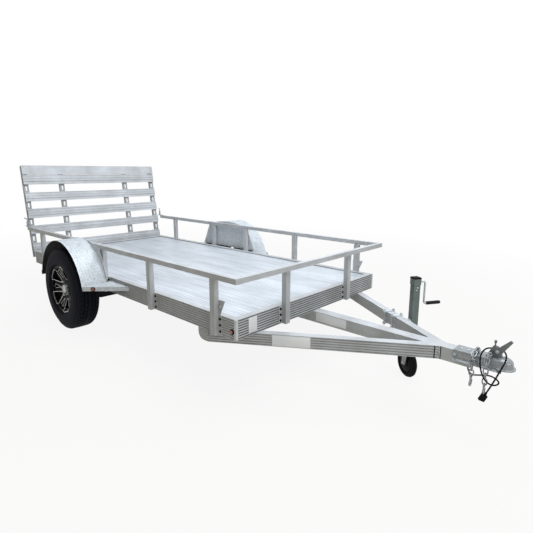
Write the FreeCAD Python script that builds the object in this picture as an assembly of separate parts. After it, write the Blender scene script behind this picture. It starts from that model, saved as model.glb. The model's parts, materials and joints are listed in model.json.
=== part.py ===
import FreeCAD, Part
import math
import os

# Single-axle aluminium utility trailer with a ramp gate, standing on its tongue jack.
#
# Millimetres. +X points forward to the hitch, +Y to the left side, +Z up.
# Everything is drawn level first, with X = 0 at the front face of the deck frame,
# Y = 0 on the centre line and heights over a datum plane. stand() then tips the
# trailer nose up until tyres and jack wheel share the ground, and puts the origin
# on the ground under the middle of the whole box.

V = FreeCAD.Vector
X_AXIS = V(1, 0, 0)
Y_AXIS = V(0, 1, 0)
Z_AXIS = V(0, 0, 1)

# Deck frame
FRAME_LENGTH = 3048.0
FRAME_WIDTH = 1524.0
FRAME_TOP = 510.0
RAIL_HEIGHT = 121.0
RAIL_THICK = 44.0
RAIL_WALL = 4.0
RAIL_GROOVE_COUNT = 8
RAIL_GROOVE_WIDE = 6.0
RAIL_GROOVE_DEEP = 3.6
TRIM_LEG = 14.0
TRIM_THICK = 2.0

# Deck
DECK_SINK = 10.0
PLANK_COUNT = 7
PLANK_GAP = 1.5
PLANK_HEIGHT = 35.0
PLANK_SKIN = 5.0
PLANK_LEG = 4.0
PLANK_FOOT = 14.0
PLANK_LEGS = 3
CROSS_COUNT = 5
CROSS_WIDE = 50.0
CROSS_WALL = 3.5

# Tongue
TONGUE_HEIGHT = 76.0
TONGUE_WALL = 4.5
CENTRE_WIDE = 76.0
CENTRE_REAR = -1120.0
CENTRE_FRONT = 1035.0
SIDE_WIDE = 50.0
SIDE_INSET = 162.0
SIDE_MEET = 871.318
SIDE_GROOVE_COUNT = 5
SIDE_END_RADIUS = 48.0
SIDE_END_PLATE = 3.0

# Coupler
COUPLER_REAR = 945.0
COUPLER_WALL = 4.0
COUPLER_SIDE_DEEP = 54.0
COUPLER_LIP = 9.0
COUPLER_SLOT = (966.0, 1046.0)
COUPLER_SLOT_HIGH = (351.0, 379.0)
BALL_X = 1186.0
BALL_RADIUS = 25.9
SOCKET_THROAT = 14.0
SOCKET_OUTER = 41.0
SOCKET_RIM = 54.0
SOCKET_RIM_THICK = 5.0
SOCKET_BOTTOM = 350.0
SOCKET_SHOULDER = 385.0
SOCKET_TOP = 404.0

# Coupler latch
LATCH_WIDE = 18.0
LATCH_LEVER_WIDE = 12.0
LATCH_SIDE = ((1098.0, 0.0), (1176.0, 0.0), (1170.0, 26.0), (1150.0, 62.0), (1128.0, 62.0))
LEVER_SIDE = ((1136.0, 38.0), (1166.0, 20.0), (1216.0, 100.0), (1204.0, 108.0))
TRIGGER_X = 1136.0
TRIGGER_RADIUS = 3.5
TRIGGER_KNOB = 6.5
TRIGGER_HIGH = 92.0

# Top rail and posts
TOP_RAIL = 32.0
TOP_RAIL_WALL = 3.0
TOP_RAIL_TOP = 765.0
TOP_RAIL_PROUD = 44.0
TOP_RAIL_FRONT = 50.0
TOP_RAIL_PAST = 29.0
POST_WIDE = 40.0
POST_DEEP = 35.0
POST_WALL = 3.0
POST_FOOT = 2.0
FLANGE_WIDE = 96.0
FLANGE_THICK = 4.0
POST_FRONT = 165.0
POST_SECOND = 840.0
POST_BEFORE_AXLE = 315.0
POST_BEHIND_AXLE = 195.0
POST_REAR = 298.0
FRONT_POST_Y = 350.0
GUSSET_LOW = 50.0
GUSSET_TOP = 92.0
GUSSET_HIGH = 92.0
GUSSET_THICK = 4.0

# Axle and wheels
AXLE_AHEAD = 1233.0
AXLE_Z = 387.0
TYRE_RADIUS = 332.0
TYRE_WIDE = 203.0
TYRE_WALL = 10.0
TYRE_BULGE = 248.0
TYRE_BELT = 292.0
TYRE_SHOULDER = 14.0
TYRE_SHOULDER_IN = 19.0
TYRE_TREAD_HALF = 66.0
TYRE_CROWN = 2.0
TYRE_BEAD = 16.0
TRACK_OUT = 158.0
RIM_SEAT = 178.0
RIM_FLANGE = 196.0
RIM_FLANGE_THICK = 8.0
RIM_WALL = 5.0
RIM_WIDE = 165.0
RIM_WELL = 158.0
RIM_LIP = 6.0
RIM_EDGE = 2.0
RIM_HUMP = 30.0
RIM_DROP = 44.0
RIM_DROP_IN = 60.0
DISC_OUT = 42.0
DISC_EDGE_OUT = 68.0
DISC_THICK = 14.0
DISC_FLAT = 72.0
DISC_RISE = 150.0
DISC_REACH = 174.0
SPOKE_COUNT = 5
WINDOW = (84.0, 165.0)
WINDOW_HALF = (9.0, 17.5)
SLOT = (92.0, 161.0)
SLOT_HALF = (1.6, 6.0)
WINDOW_CORNER = 9.0
WINDOW_TURN = 4.0
BOLT_CIRCLE = 57.15
HUB_RADIUS = 39.0
HUB_LENGTH = 92.0
HUB_FLANGE = 70.0
HUB_FLANGE_THICK = 9.0
SPINDLE_RADIUS = 17.0
SPINDLE_CLEARANCE = 0.1
ARM_LENGTH = 152.0
ARM_THICK = 22.0
AXLE_TUBE = 76.0
AXLE_TUBE_WALL = 6.0
AXLE_TUBE_PAST = 6.0
AXLE_BRACKET_LONG = 190.0
AXLE_BRACKET_WIDE = 60.0
AXLE_BRACKET_PLATE = 8.0

# Fenders
FENDER_Z = 386.0
FENDER_CLEARANCE = 68.0
FENDER_SHEET = 3.0
FENDER_WIDE = 193.0
FENDER_FOOT = 448.0
BACKING_FOOT_X = 410.0
BACKING_EAR_X = 305.0
BACKING_EAR_Z = 735.0
STEP_TOP = 483.0
STEP_FLANGE = 32.0
STEP_FRONT = 645.0

# Lamps
MARKER_RADIUS = 11.0
MARKER_DEEP = 9.0
TAIL_LAMP_LONG = 150.0
TAIL_LAMP_HIGH = 30.0
TAIL_LAMP_DEEP = 20.0

# Gate, drawn upright over its hinge line and then leaned back
GATE_LEAN = 8.06
GATE_SWING = 96.0
HINGE_PAST = 36.0
HINGE_Z = 424.0
HINGE_PIN = 6.0
HINGE_CLEARANCE = 0.1
HINGE_BARREL = 11.0
HINGE_BARREL_LONG = 30.0
HINGE_SIDE_GAP = 1.0
HINGE_EAR = 6.0
GATE_SIDE_PAST = 3.0
GATE_FACE = 14.0
SLAT_THICK = 22.0
SLAT_WALL = 3.0
SLAT_HEIGHTS = ((74.0, 163.0), (256.0, 345.0), (421.0, 519.0), (596.0, 688.0), (772.0, 868.0))
TOP_PLATE = (874.0, 969.0)
TOP_PLATE_BEVEL = 12.0
SUPPORT_WIDE = 50.0
SUPPORT_DEEP = 28.0
SUPPORT_WALL = 3.5
SUPPORT_FOOT = 18.0
SUPPORT_EDGE_IN = 25.0
HINGE_EDGE_IN = 43.0
SUPPORT_INNER_Y = 375.0
SUPPORT_SLOT_WIDE = 14.0
SUPPORT_SLOT_HIGH = 44.0

# Gate latches on the rear ends of the top rail
LATCH_PLATE = 5.0
LATCH_PIN = 5.0
LATCH_BARREL = 10.0
LATCH_BARREL_HIGH = 46.0
LATCH_REACH = 62.0
LATCH_HOLD = 30.0
LATCH_HANDLE_UP = 22.0
LATCH_HANDLE = (34.0, 14.0, 12.0)
LATCH_HANDLE_BEND = 12.0

# Tongue jack on the outer face of the left tongue member
JACK_ALONG = 525.0
JACK_OFFSET = 62.0
JACK_TUBE = 45.0
JACK_TUBE_WALL = 3.0
JACK_TOP = 658.0
JACK_FOOT = 262.0
JACK_HEAD = 50.0
JACK_HEAD_HIGH = 46.0
JACK_PLATE = 6.0
JACK_PLATE_LONG = 210.0
JACK_STRAP = 28.0
JACK_STRAP_THICK = 6.0
JACK_STRAP_TAB = 14.0
JACK_STRAP_PLACES = (-162.0, -64.0)
JACK_PIVOT_RADIUS = 30.0
LEG_TUBE = 38.0
LEG_FOOT = 190.0
LEG_INSIDE = 230.0
CRANK_ROD = 6.5
CRANK_DROP = 28.0
CRANK_REACH = 46.0
CRANK_ARM = 150.0
CRANK_GRIP_RADIUS = 11.0
CRANK_GRIP_LONG = 108.0
CASTER_RADIUS = 101.0
CASTER_WIDE = 44.0
CASTER_TREAD = 26.0
CASTER_SHOULDER = 12.0
CASTER_HUB = 30.0
CASTER_TRAIL = 34.0
CASTER_BOTTOM = -45.0
FORK_SHEET = 5.0
FORK_GAP = 4.0
FORK_WIDE = 34.0
CASTER_AXLE = 6.0
CASTER_CLEARANCE = 0.1
RUN_GAP = 1.0
SEAT_GAP = 0.3

# Safety chains
CHAIN_WIRE = 6.8
CHAIN_WIDTH = 28.6
CHAIN_STRAIGHT = 15.0
CHAIN_PLAY = 1.1
CHAIN_BEND_PLAY = 5.8
CHAIN_BENDS = 4
CHAIN_LINKS = 7
CHAIN_X_REAR = 1055.0
CHAIN_X_FRONT = 1122.0
CHAIN_TOP = 413.5
CHAIN_START_REAR = 5.0
CHAIN_START_FRONT = 33.0
CHAIN_LAY = 26.0
CHAIN_SIDE = 75.0
CHAIN_BOLT = 4.0
CHAIN_BOLT_WIDE = 8.4
CHAIN_BOLT_HEAD = 6.0
HOOK_EYE = 14.0
HOOK_HOLE = 7.4
HOOK_DROP = 34.0
HOOK_BOWL = 15.0
HOOK_THICK = 6.2
HOOK_SIDES = 10

# Wiring lead
LEAD_DIAMETER = 8.0
PLUG_LONG = 50.0
PLUG_NECK = 16.0
PLUG_NECK_RADIUS = 6.0
PLUG_WIDE = 30.0
PLUG_THICK = 14.0

# Values worked out from the ones above
FRAME_BOTTOM = FRAME_TOP - RAIL_HEIGHT
HALF = FRAME_WIDTH / 2
AXLE_X = AXLE_AHEAD - FRAME_LENGTH
TRACK_HALF = HALF + TRACK_OUT
AXLE_TUBE_HALF = HALF + AXLE_TUBE_PAST
TOP_RAIL_OUT = HALF + TOP_RAIL_PROUD
TOP_RAIL_REAR = -FRAME_LENGTH - TOP_RAIL_PAST
SIDE_POSTS = (-POST_FRONT, -POST_SECOND, AXLE_X + POST_BEFORE_AXLE, AXLE_X - POST_BEHIND_AXLE,
              POST_REAR - FRAME_LENGTH)
HINGE_X = -FRAME_LENGTH - HINGE_PAST
GATE_HALF = HALF + GATE_SIDE_PAST
GATE_WIDTH = 2 * GATE_HALF
SUPPORT_Y = (SUPPORT_EDGE_IN - GATE_HALF, -SUPPORT_INNER_Y, SUPPORT_INNER_Y, GATE_HALF - SUPPORT_EDGE_IN)
HINGE_Y = (HINGE_EDGE_IN - GATE_HALF, -SUPPORT_INNER_Y, SUPPORT_INNER_Y, GATE_HALF - HINGE_EDGE_IN)
INNER_HALF = HALF - RAIL_THICK
DECK_TOP = FRAME_TOP - DECK_SINK
CROSS_TOP = DECK_TOP - PLANK_HEIGHT
TONGUE_TOP = FRAME_BOTTOM
TONGUE_BOTTOM = TONGUE_TOP - TONGUE_HEIGHT
CENTRE_HALF = CENTRE_WIDE / 2
POST_TOP = TOP_RAIL_TOP - TOP_RAIL
BACKING_IN = TOP_RAIL_OUT
BACKING_OUT = BACKING_IN + FENDER_SHEET
FENDER_X = AXLE_X
FENDER_OUT = BACKING_OUT + FENDER_WIDE
FENDER_RADIUS = TYRE_RADIUS + FENDER_CLEARANCE
SIDE_SPREAD = HALF - SIDE_INSET
SIDE_SLOPE = (SIDE_SPREAD - CENTRE_HALF) / SIDE_MEET
SIDE_ANGLE = math.degrees(math.atan(SIDE_SLOPE))
SUPPORT_BACK = GATE_FACE - SLAT_THICK - SUPPORT_DEEP
SUPPORT_FRONT = GATE_FACE - SLAT_THICK


def box(x0, x1, y0, y1, z0, z1):
    return Part.makeBox(x1 - x0, y1 - y0, z1 - z0, V(x0, y0, z0))


def prism(points, direction):
    """Closed polygon through points, extruded along direction."""
    wire = Part.makePolygon(list(points) + [points[0]])
    return Part.Face(wire).extrude(direction)


def prism_xz(points, y0, y1):
    return prism([V(x, y0, z) for x, z in points], V(0, y1 - y0, 0))


def prism_yz(points, x0, x1):
    return prism([V(x0, y, z) for y, z in points], V(x1 - x0, 0, 0))


def prism_xy(points, z0, z1):
    return prism([V(x, y, z0) for x, y in points], V(0, 0, z1 - z0))


def rod(radius, start, end):
    line = end - start
    return Part.makeCylinder(radius, line.Length, start, line)


def ring(outer, inner, start, end):
    return rod(outer, start, end).cut(rod(inner, start, end))


def fuse(shapes):
    first = shapes[0]
    return first.fuse(shapes[1:]).removeSplitter() if len(shapes) > 1 else first


def group(shapes):
    return Part.makeCompound(shapes)


def mirror(shape):
    """The same piece on the other side of the centre line."""
    return shape.mirror(V(0, 0, 0), Y_AXIS)


def edges(points, close):
    ends = points[1:] + points[:1] if close else points[1:]
    return [Part.makeLine(a, b) for a, b in zip(points, ends)]


def bent_path(points, radii):
    """Straight runs joined by tangent arcs, one radius for each inner point."""
    parts = []
    start = points[0]
    for before, corner, after, radius in zip(points, points[1:], points[2:], radii):
        way_in = (corner - before).normalize()
        way_out = (after - corner).normalize()
        turn = way_in.getAngle(way_out)
        trim = radius * math.tan(turn / 2)
        arc_start = corner - way_in * trim
        arc_end = corner + way_out * trim
        middle_way = (way_out - way_in).normalize()
        middle = corner + middle_way * (radius / math.cos(turn / 2) - radius)
        parts.append(Part.makeLine(start, arc_start))
        parts.append(Part.Arc(arc_start, middle, arc_end).toShape())
        start = arc_end
    parts.append(Part.makeLine(start, points[-1]))
    return Part.Wire(parts)


def bent_rod(points, radii, radius):
    path = bent_path(points, radii)
    ring_wire = Part.Wire(Part.makeCircle(radius, points[0], points[1] - points[0]))
    return path.makePipeShell([ring_wire], True, False)


def grooved(face, low, high, wide, deep, count):
    """Outline points of a wall face at `face`, from low to high, with square grooves."""
    pitch = (high - low) / count
    inward = -deep if face > 0 else deep
    points = []
    for index in range(count):
        middle = low + pitch * (index + 0.5)
        points.append((face, middle - wide / 2))
        points.append((face + inward, middle - wide / 2 + deep / 2))
        points.append((face + inward, middle + wide / 2 - deep / 2))
        points.append((face, middle + wide / 2))
    return points


def rail_section():
    """Outline and hole of a frame rail: outer face at 0, inner face at +RAIL_THICK."""
    outer = [(0.0, FRAME_BOTTOM)]
    outer += grooved(0.0, FRAME_BOTTOM, FRAME_TOP, RAIL_GROOVE_WIDE, RAIL_GROOVE_DEEP, RAIL_GROOVE_COUNT)
    outer += [(0.0, FRAME_TOP), (RAIL_THICK, FRAME_TOP), (RAIL_THICK, FRAME_BOTTOM)]
    low = FRAME_BOTTOM + RAIL_WALL
    high = FRAME_TOP - RAIL_WALL
    near = RAIL_WALL + RAIL_GROOVE_DEEP
    far = RAIL_THICK - RAIL_WALL
    hole = [(near, low), (near, high), (far, high), (far, low)]
    return outer, hole


def set_back(points, face, inward):
    """Section points, given as depth behind the face and height, put at their place."""
    return [(face + inward * depth, z) for depth, z in points]


def side_rail():
    """Right side rail, mitred at both ends."""
    outer, hole = rail_section()
    bar = prism_yz(set_back(outer, -HALF, 1), -FRAME_LENGTH, 0)
    bar = bar.cut(prism_yz(set_back(hole, -HALF, 1), -FRAME_LENGTH, 0))
    plan = [(0, -HALF), (-RAIL_THICK, -INNER_HALF),
            (RAIL_THICK - FRAME_LENGTH, -INNER_HALF), (-FRAME_LENGTH, -HALF)]
    return bar.common(prism_xy(plan, FRAME_BOTTOM, FRAME_TOP))


def end_rail(front):
    """Front or rear rail between the side rails, mitred at both ends."""
    outer, hole = rail_section()
    face = 0.0 if front else -FRAME_LENGTH
    inward = -1 if front else 1
    bar = prism_xz(set_back(outer, face, inward), -HALF, HALF)
    bar = bar.cut(prism_xz(set_back(hole, face, inward), -HALF, HALF))
    inner = face + inward * RAIL_THICK
    plan = [(face, -HALF), (face, HALF), (inner, INNER_HALF), (inner, -INNER_HALF)]
    return bar.common(prism_xy(plan, FRAME_BOTTOM, FRAME_TOP))


def corner_trims():
    """Vertical angle strips that cover the four mitred corners."""
    trims = []
    for x, inward in ((0.0, -1), (-FRAME_LENGTH, 1)):
        for side in (-1, 1):
            y = side * HALF
            back = inward * TRIM_LEG
            out_x = x - inward * TRIM_THICK
            out_y = y + side * TRIM_THICK
            plan = [(x + back, y), (x, y), (x, y - side * TRIM_LEG), (out_x, y - side * TRIM_LEG),
                    (out_x, out_y), (x + back, out_y)]
            trims.append(prism_xy(plan, FRAME_BOTTOM, FRAME_TOP))
    return group(trims)


def cross_members():
    bars = []
    pitch = FRAME_LENGTH / (CROSS_COUNT + 1)
    for index in range(CROSS_COUNT):
        x = -pitch * (index + 1)
        outer = box(x - CROSS_WIDE / 2, x + CROSS_WIDE / 2, -INNER_HALF, INNER_HALF,
                    FRAME_BOTTOM, CROSS_TOP)
        inner = box(x - CROSS_WIDE / 2 + CROSS_WALL, x + CROSS_WIDE / 2 - CROSS_WALL,
                    -INNER_HALF, INNER_HALF, FRAME_BOTTOM + CROSS_WALL, CROSS_TOP - CROSS_WALL)
        bars.append(outer.cut(inner))
    return group(bars)


def plank_outline(left, wide):
    """Deck plank from the end: a skin on legs with feet."""
    under = DECK_TOP - PLANK_SKIN
    points = [(left, DECK_TOP), (left + wide, DECK_TOP), (left + wide, under)]
    pitch = wide / PLANK_LEGS
    for index in reversed(range(PLANK_LEGS)):
        middle = left + pitch * (index + 0.5)
        points += [(middle + PLANK_LEG / 2, under), (middle + PLANK_LEG / 2, CROSS_TOP + PLANK_LEG),
                   (middle + PLANK_FOOT, CROSS_TOP + PLANK_LEG), (middle + PLANK_FOOT, CROSS_TOP),
                   (middle - PLANK_FOOT, CROSS_TOP), (middle - PLANK_FOOT, CROSS_TOP + PLANK_LEG),
                   (middle - PLANK_LEG / 2, CROSS_TOP + PLANK_LEG), (middle - PLANK_LEG / 2, under)]
    points.append((left, under))
    return points


def deck_planks():
    room = 2 * INNER_HALF
    wide = (room - PLANK_GAP * (PLANK_COUNT + 1)) / PLANK_COUNT
    planks = []
    for index in range(PLANK_COUNT):
        left = -INNER_HALF + PLANK_GAP + index * (wide + PLANK_GAP)
        planks.append(prism_yz(plank_outline(left, wide), RAIL_THICK - FRAME_LENGTH, -RAIL_THICK))
    return group(planks)


def tongue_centre():
    outer = box(CENTRE_REAR, CENTRE_FRONT, -CENTRE_HALF, CENTRE_HALF, TONGUE_BOTTOM, TONGUE_TOP)
    inner = box(CENTRE_REAR, CENTRE_FRONT, TONGUE_WALL - CENTRE_HALF, CENTRE_HALF - TONGUE_WALL,
                TONGUE_BOTTOM + TONGUE_WALL, TONGUE_TOP - TONGUE_WALL)
    return outer.cut(inner)


def side_rear_x():
    """Where the outer face of a tongue side member comes out under the side rail."""
    return -(HALF - SIDE_SPREAD) / SIDE_SLOPE


def side_tail_x():
    """Where its inner face comes out there."""
    return side_rear_x() - SIDE_WIDE / math.sin(math.radians(SIDE_ANGLE))


def tongue_side():
    """Right side member: a grooved box section from under the side rail to the centre member."""
    turn = math.radians(SIDE_ANGLE)
    ahead = SIDE_MEET / math.cos(turn) + SIDE_WIDE
    behind = SIDE_INSET / math.sin(turn) + SIDE_WIDE / math.tan(turn) + SIDE_WIDE
    outer = [(0.0, TONGUE_BOTTOM)]
    outer += grooved(0.0, TONGUE_BOTTOM, TONGUE_TOP, RAIL_GROOVE_WIDE, RAIL_GROOVE_DEEP, SIDE_GROOVE_COUNT)
    outer += [(0.0, TONGUE_TOP), (SIDE_WIDE, TONGUE_TOP), (SIDE_WIDE, TONGUE_BOTTOM)]
    near = TONGUE_WALL + RAIL_GROOVE_DEEP
    far = SIDE_WIDE - TONGUE_WALL
    low = TONGUE_BOTTOM + TONGUE_WALL
    high = TONGUE_TOP - TONGUE_WALL
    hole = [(near, low), (near, high), (far, high), (far, low)]
    bar = prism_yz(outer, -behind, ahead).cut(prism_yz(hole, -behind, ahead))
    bar.rotate(V(0, 0, 0), Z_AXIS, SIDE_ANGLE)
    bar.translate(V(0, -SIDE_SPREAD, 0))
    keep = box(-behind, ahead, -HALF + SIDE_END_PLATE, -CENTRE_HALF, TONGUE_BOTTOM, TONGUE_TOP)
    bar = bar.common(keep)
    plate = box(side_tail_x(), side_rear_x(), -HALF, -HALF + SIDE_END_PLATE,
                TONGUE_BOTTOM, TONGUE_TOP)
    member = bar.fuse(plate)
    return round_rear_end(member)


def round_rear_end(member):
    """Takes the lower rear corner of a tongue side member to a radius."""
    rear = side_tail_x()
    centre_x = rear + SIDE_END_RADIUS
    centre_z = TONGUE_BOTTOM + SIDE_END_RADIUS
    corner = box(rear - 1, centre_x, -HALF - 1, -SIDE_SPREAD, TONGUE_BOTTOM - 1, centre_z)
    keep = rod(SIDE_END_RADIUS, V(centre_x, -HALF - 2, centre_z), V(centre_x, 0, centre_z))
    return member.cut(corner.cut(keep)).removeSplitter()


def coupler_nose(grow):
    """Turned form of the ball socket, made larger all over by grow."""
    rim = SOCKET_RIM + grow
    side = SOCKET_OUTER + grow
    bottom = SOCKET_BOTTOM - grow
    ledge = SOCKET_BOTTOM + SOCKET_RIM_THICK + grow
    top = SOCKET_TOP + grow
    profile = [V(0, 0, bottom), V(rim, 0, bottom), V(rim, 0, ledge), V(side + 4, 0, ledge + 3),
               V(side, 0, SOCKET_SHOULDER)]
    crown = Part.Arc(V(side, 0, SOCKET_SHOULDER), V(side * 0.72, 0, top - 5), V(0, 0, top)).toShape()
    wire = Part.Wire(edges(profile, False) + [crown, Part.makeLine(V(0, 0, top), profile[0])])
    nose = Part.Face(wire).revolve(V(0, 0, 0), Z_AXIS, 360)
    nose.translate(V(BALL_X, 0, 0))
    return nose


def coupler_body():
    """Pressed channel over the tongue with the ball socket at its nose."""
    inner = CENTRE_HALF + RUN_GAP / 2
    outer = inner + COUPLER_WALL
    top = TONGUE_TOP + RUN_GAP / 2
    bottom = TONGUE_TOP - COUPLER_SIDE_DEEP
    flare = outer + COUPLER_LIP
    left = [(outer, top + COUPLER_WALL), (outer, bottom + COUPLER_LIP), (flare, bottom),
            (flare - COUPLER_WALL, bottom), (inner, bottom + COUPLER_LIP), (inner, top)]
    outline = left + [(-y, z) for y, z in reversed(left)]
    channel = prism_yz(outline, COUPLER_REAR, BALL_X)
    nose = coupler_nose(0)
    web = box(CENTRE_FRONT + RUN_GAP, BALL_X, -outer, outer, top, top + COUPLER_WALL)
    ball = Part.makeSphere(BALL_RADIUS, V(BALL_X, 0, SOCKET_BOTTOM + SOCKET_THROAT))
    throat = rod(BALL_RADIUS, V(BALL_X, 0, SOCKET_BOTTOM - 1), V(BALL_X, 0, SOCKET_BOTTOM + SOCKET_THROAT))
    slot = box(COUPLER_SLOT[0], COUPLER_SLOT[1], -outer - 1, outer + 1,
               COUPLER_SLOT_HIGH[0], COUPLER_SLOT_HIGH[1])
    body = fuse([channel, web, nose])
    return body.cut(ball).cut(throat).cut(slot)


def coupler_latch():
    """Latch frame and lever, locked with the lever up and forward."""
    base = TONGUE_TOP + RUN_GAP / 2 + COUPLER_WALL
    frame = prism_xz([(x, base + up) for x, up in LATCH_SIDE], -LATCH_WIDE / 2, LATCH_WIDE / 2)
    lever = prism_xz([(x, base + up) for x, up in LEVER_SIDE], -LATCH_LEVER_WIDE / 2, LATCH_LEVER_WIDE / 2)
    top = V(TRIGGER_X, 0, base + TRIGGER_HIGH)
    stem = rod(TRIGGER_RADIUS, V(TRIGGER_X, 0, base + LATCH_SIDE[1][1]), top)
    knob = rod(TRIGGER_KNOB, top - Z_AXIS * TRIGGER_KNOB * 2, top)
    return fuse([frame.cut(coupler_nose(SEAT_GAP)), lever, stem.cut(coupler_nose(SEAT_GAP)), knob])


def top_rail_side():
    """Right run of the top rail, mitred into the front run."""
    near = TOP_RAIL_OUT - TOP_RAIL
    bar = square_tube_x(TOP_RAIL_REAR, TOP_RAIL_FRONT)
    plan = [(TOP_RAIL_REAR, -TOP_RAIL_OUT), (TOP_RAIL_FRONT, -TOP_RAIL_OUT),
            (TOP_RAIL_FRONT - TOP_RAIL, -near), (TOP_RAIL_REAR, -near)]
    return bar.common(prism_xy(plan, POST_TOP, TOP_RAIL_TOP))


def square_tube_x(x0, x1):
    near = TOP_RAIL_OUT - TOP_RAIL
    outer = box(x0, x1, -TOP_RAIL_OUT, -near, POST_TOP, TOP_RAIL_TOP)
    inner = box(x0, x1, TOP_RAIL_WALL - TOP_RAIL_OUT, -near - TOP_RAIL_WALL,
                POST_TOP + TOP_RAIL_WALL, TOP_RAIL_TOP - TOP_RAIL_WALL)
    return outer.cut(inner)


def top_rail_front():
    near = TOP_RAIL_OUT - TOP_RAIL
    back = TOP_RAIL_FRONT - TOP_RAIL
    outer = box(back, TOP_RAIL_FRONT, -TOP_RAIL_OUT, TOP_RAIL_OUT, POST_TOP, TOP_RAIL_TOP)
    inner = box(back + TOP_RAIL_WALL, TOP_RAIL_FRONT - TOP_RAIL_WALL, -TOP_RAIL_OUT, TOP_RAIL_OUT,
                POST_TOP + TOP_RAIL_WALL, TOP_RAIL_TOP - TOP_RAIL_WALL)
    plan = [(TOP_RAIL_FRONT, -TOP_RAIL_OUT), (TOP_RAIL_FRONT, TOP_RAIL_OUT), (back, near), (back, -near)]
    return outer.cut(inner).common(prism_xy(plan, POST_TOP, TOP_RAIL_TOP))


def post():
    """Post on a frame face at Y = 0 that looks along -Y, centred on X = 0."""
    low = FRAME_BOTTOM + POST_FOOT
    outer = box(-POST_WIDE / 2, POST_WIDE / 2, -POST_DEEP, 0, low, POST_TOP)
    inner = box(POST_WALL - POST_WIDE / 2, POST_WIDE / 2 - POST_WALL, POST_WALL - POST_DEEP, -POST_WALL,
                low, POST_TOP)
    flange = box(-FLANGE_WIDE / 2, FLANGE_WIDE / 2, -FLANGE_THICK, 0, low, FRAME_TOP)
    return fuse([outer.cut(inner), flange.cut(inner)])


def posts_right():
    shapes = []
    for x in SIDE_POSTS:
        piece = post()
        piece.translate(V(x, -HALF, 0))
        shapes.append(piece)
    return group(shapes)


def posts_front():
    shapes = []
    for y in (-FRONT_POST_Y, FRONT_POST_Y):
        piece = post()
        piece.rotate(V(0, 0, 0), Z_AXIS, 90)
        piece.translate(V(0, y, 0))
        shapes.append(piece)
    return group(shapes)


def post_gussets():
    """Plates on the side rails, against the inner faces of the front side posts, wider at the top."""
    rear = -POST_FRONT - POST_WIDE / 2
    high = FRAME_TOP + GUSSET_HIGH
    outline = [(rear, FRAME_TOP), (rear + GUSSET_LOW, FRAME_TOP), (rear + GUSSET_TOP, high), (rear, high)]
    plate = prism_xz(outline, -HALF, -HALF + GUSSET_THICK)
    return group([plate, mirror(plate)])


def fender_arch():
    """Rolled strip over the right wheel, from the backing sheet to its outer lip."""
    drop = FENDER_Z - FENDER_FOOT
    outer = rod(FENDER_RADIUS, V(FENDER_X, -FENDER_OUT, FENDER_Z), V(FENDER_X, -BACKING_OUT, FENDER_Z))
    inner = rod(FENDER_RADIUS - FENDER_SHEET, V(FENDER_X, -FENDER_OUT, FENDER_Z),
                V(FENDER_X, -BACKING_OUT, FENDER_Z))
    below = box(FENDER_X - FENDER_RADIUS, FENDER_X + FENDER_RADIUS, -FENDER_OUT, -BACKING_OUT,
                FENDER_Z - FENDER_RADIUS, FENDER_Z - drop)
    return outer.cut(inner).cut(below)


def fender_backing():
    """Upright sheet between wheel and load, standing behind posts and rail."""
    crown = FENDER_Z + FENDER_RADIUS
    ear_front = V(FENDER_X + BACKING_EAR_X, -BACKING_IN, BACKING_EAR_Z)
    ear_rear = V(FENDER_X - BACKING_EAR_X, -BACKING_IN, BACKING_EAR_Z)
    foot_front = V(FENDER_X + BACKING_FOOT_X, -BACKING_IN, FRAME_TOP)
    foot_rear = V(FENDER_X - BACKING_FOOT_X, -BACKING_IN, FRAME_TOP)
    top = Part.Arc(ear_rear, V(FENDER_X, -BACKING_IN, crown), ear_front).toShape()
    wire = Part.Wire([top] + edges([ear_front, foot_front, foot_rear, ear_rear], False))
    return Part.Face(wire).extrude(V(0, -FENDER_SHEET, 0))


def fender_step(direction):
    """Folded sheet between frame and fender foot, in front of (1) or behind (-1) the wheel."""
    reach = math.sqrt(FENDER_RADIUS ** 2 - (FENDER_Z - FENDER_FOOT) ** 2)
    foot = FENDER_X + direction * (reach + SEAT_GAP)
    corner = FENDER_X + direction * STEP_FRONT
    tip = foot + direction * 8
    top_points = [(foot, -HALF), (corner, -HALF), (tip, -FENDER_OUT), (foot, -FENDER_OUT)]
    low = STEP_TOP - STEP_FLANGE
    block = prism_xy(top_points, low, STEP_TOP)
    shrink = FENDER_SHEET * 1.4 * direction
    hollow = prism_xy([(foot - direction, -HALF + 1), (corner - shrink, -HALF + 1),
                       (tip - shrink, -FENDER_OUT - 1), (foot - direction, -FENDER_OUT - 1)],
                      low - 1, STEP_TOP - FENDER_SHEET)
    return block.cut(hollow)


def step_front_point(direction, share):
    """Point on the step's slanted flange, share 0 at the frame and 1 at the outer tip."""
    reach = math.sqrt(FENDER_RADIUS ** 2 - (FENDER_Z - FENDER_FOOT) ** 2)
    corner = V(FENDER_X + direction * STEP_FRONT, -HALF, STEP_TOP - STEP_FLANGE / 2)
    tip = V(FENDER_X + direction * (reach + 9), -FENDER_OUT, STEP_TOP - STEP_FLANGE / 2)
    point = corner + (tip - corner) * share
    along = (tip - corner).normalize()
    out = V(-along.y, along.x, 0) * direction
    return point, out


def fender_steps():
    right = [fender_step(1), fender_step(-1)]
    return group(right + [mirror(step) for step in right])


def marker_lamps():
    """Amber lamps on the front steps and on the frame sides near the front corners."""
    point, out = step_front_point(1, 0.78)
    step_lamp = rod(MARKER_RADIUS, point, point + out * MARKER_DEEP)
    side_point = V(-32, -HALF, FRAME_BOTTOM + 45)
    side_lamp = rod(MARKER_RADIUS, side_point, side_point + V(0, -MARKER_DEEP, 0))
    right = [step_lamp, side_lamp]
    return group(right + [mirror(lamp) for lamp in right])


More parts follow.
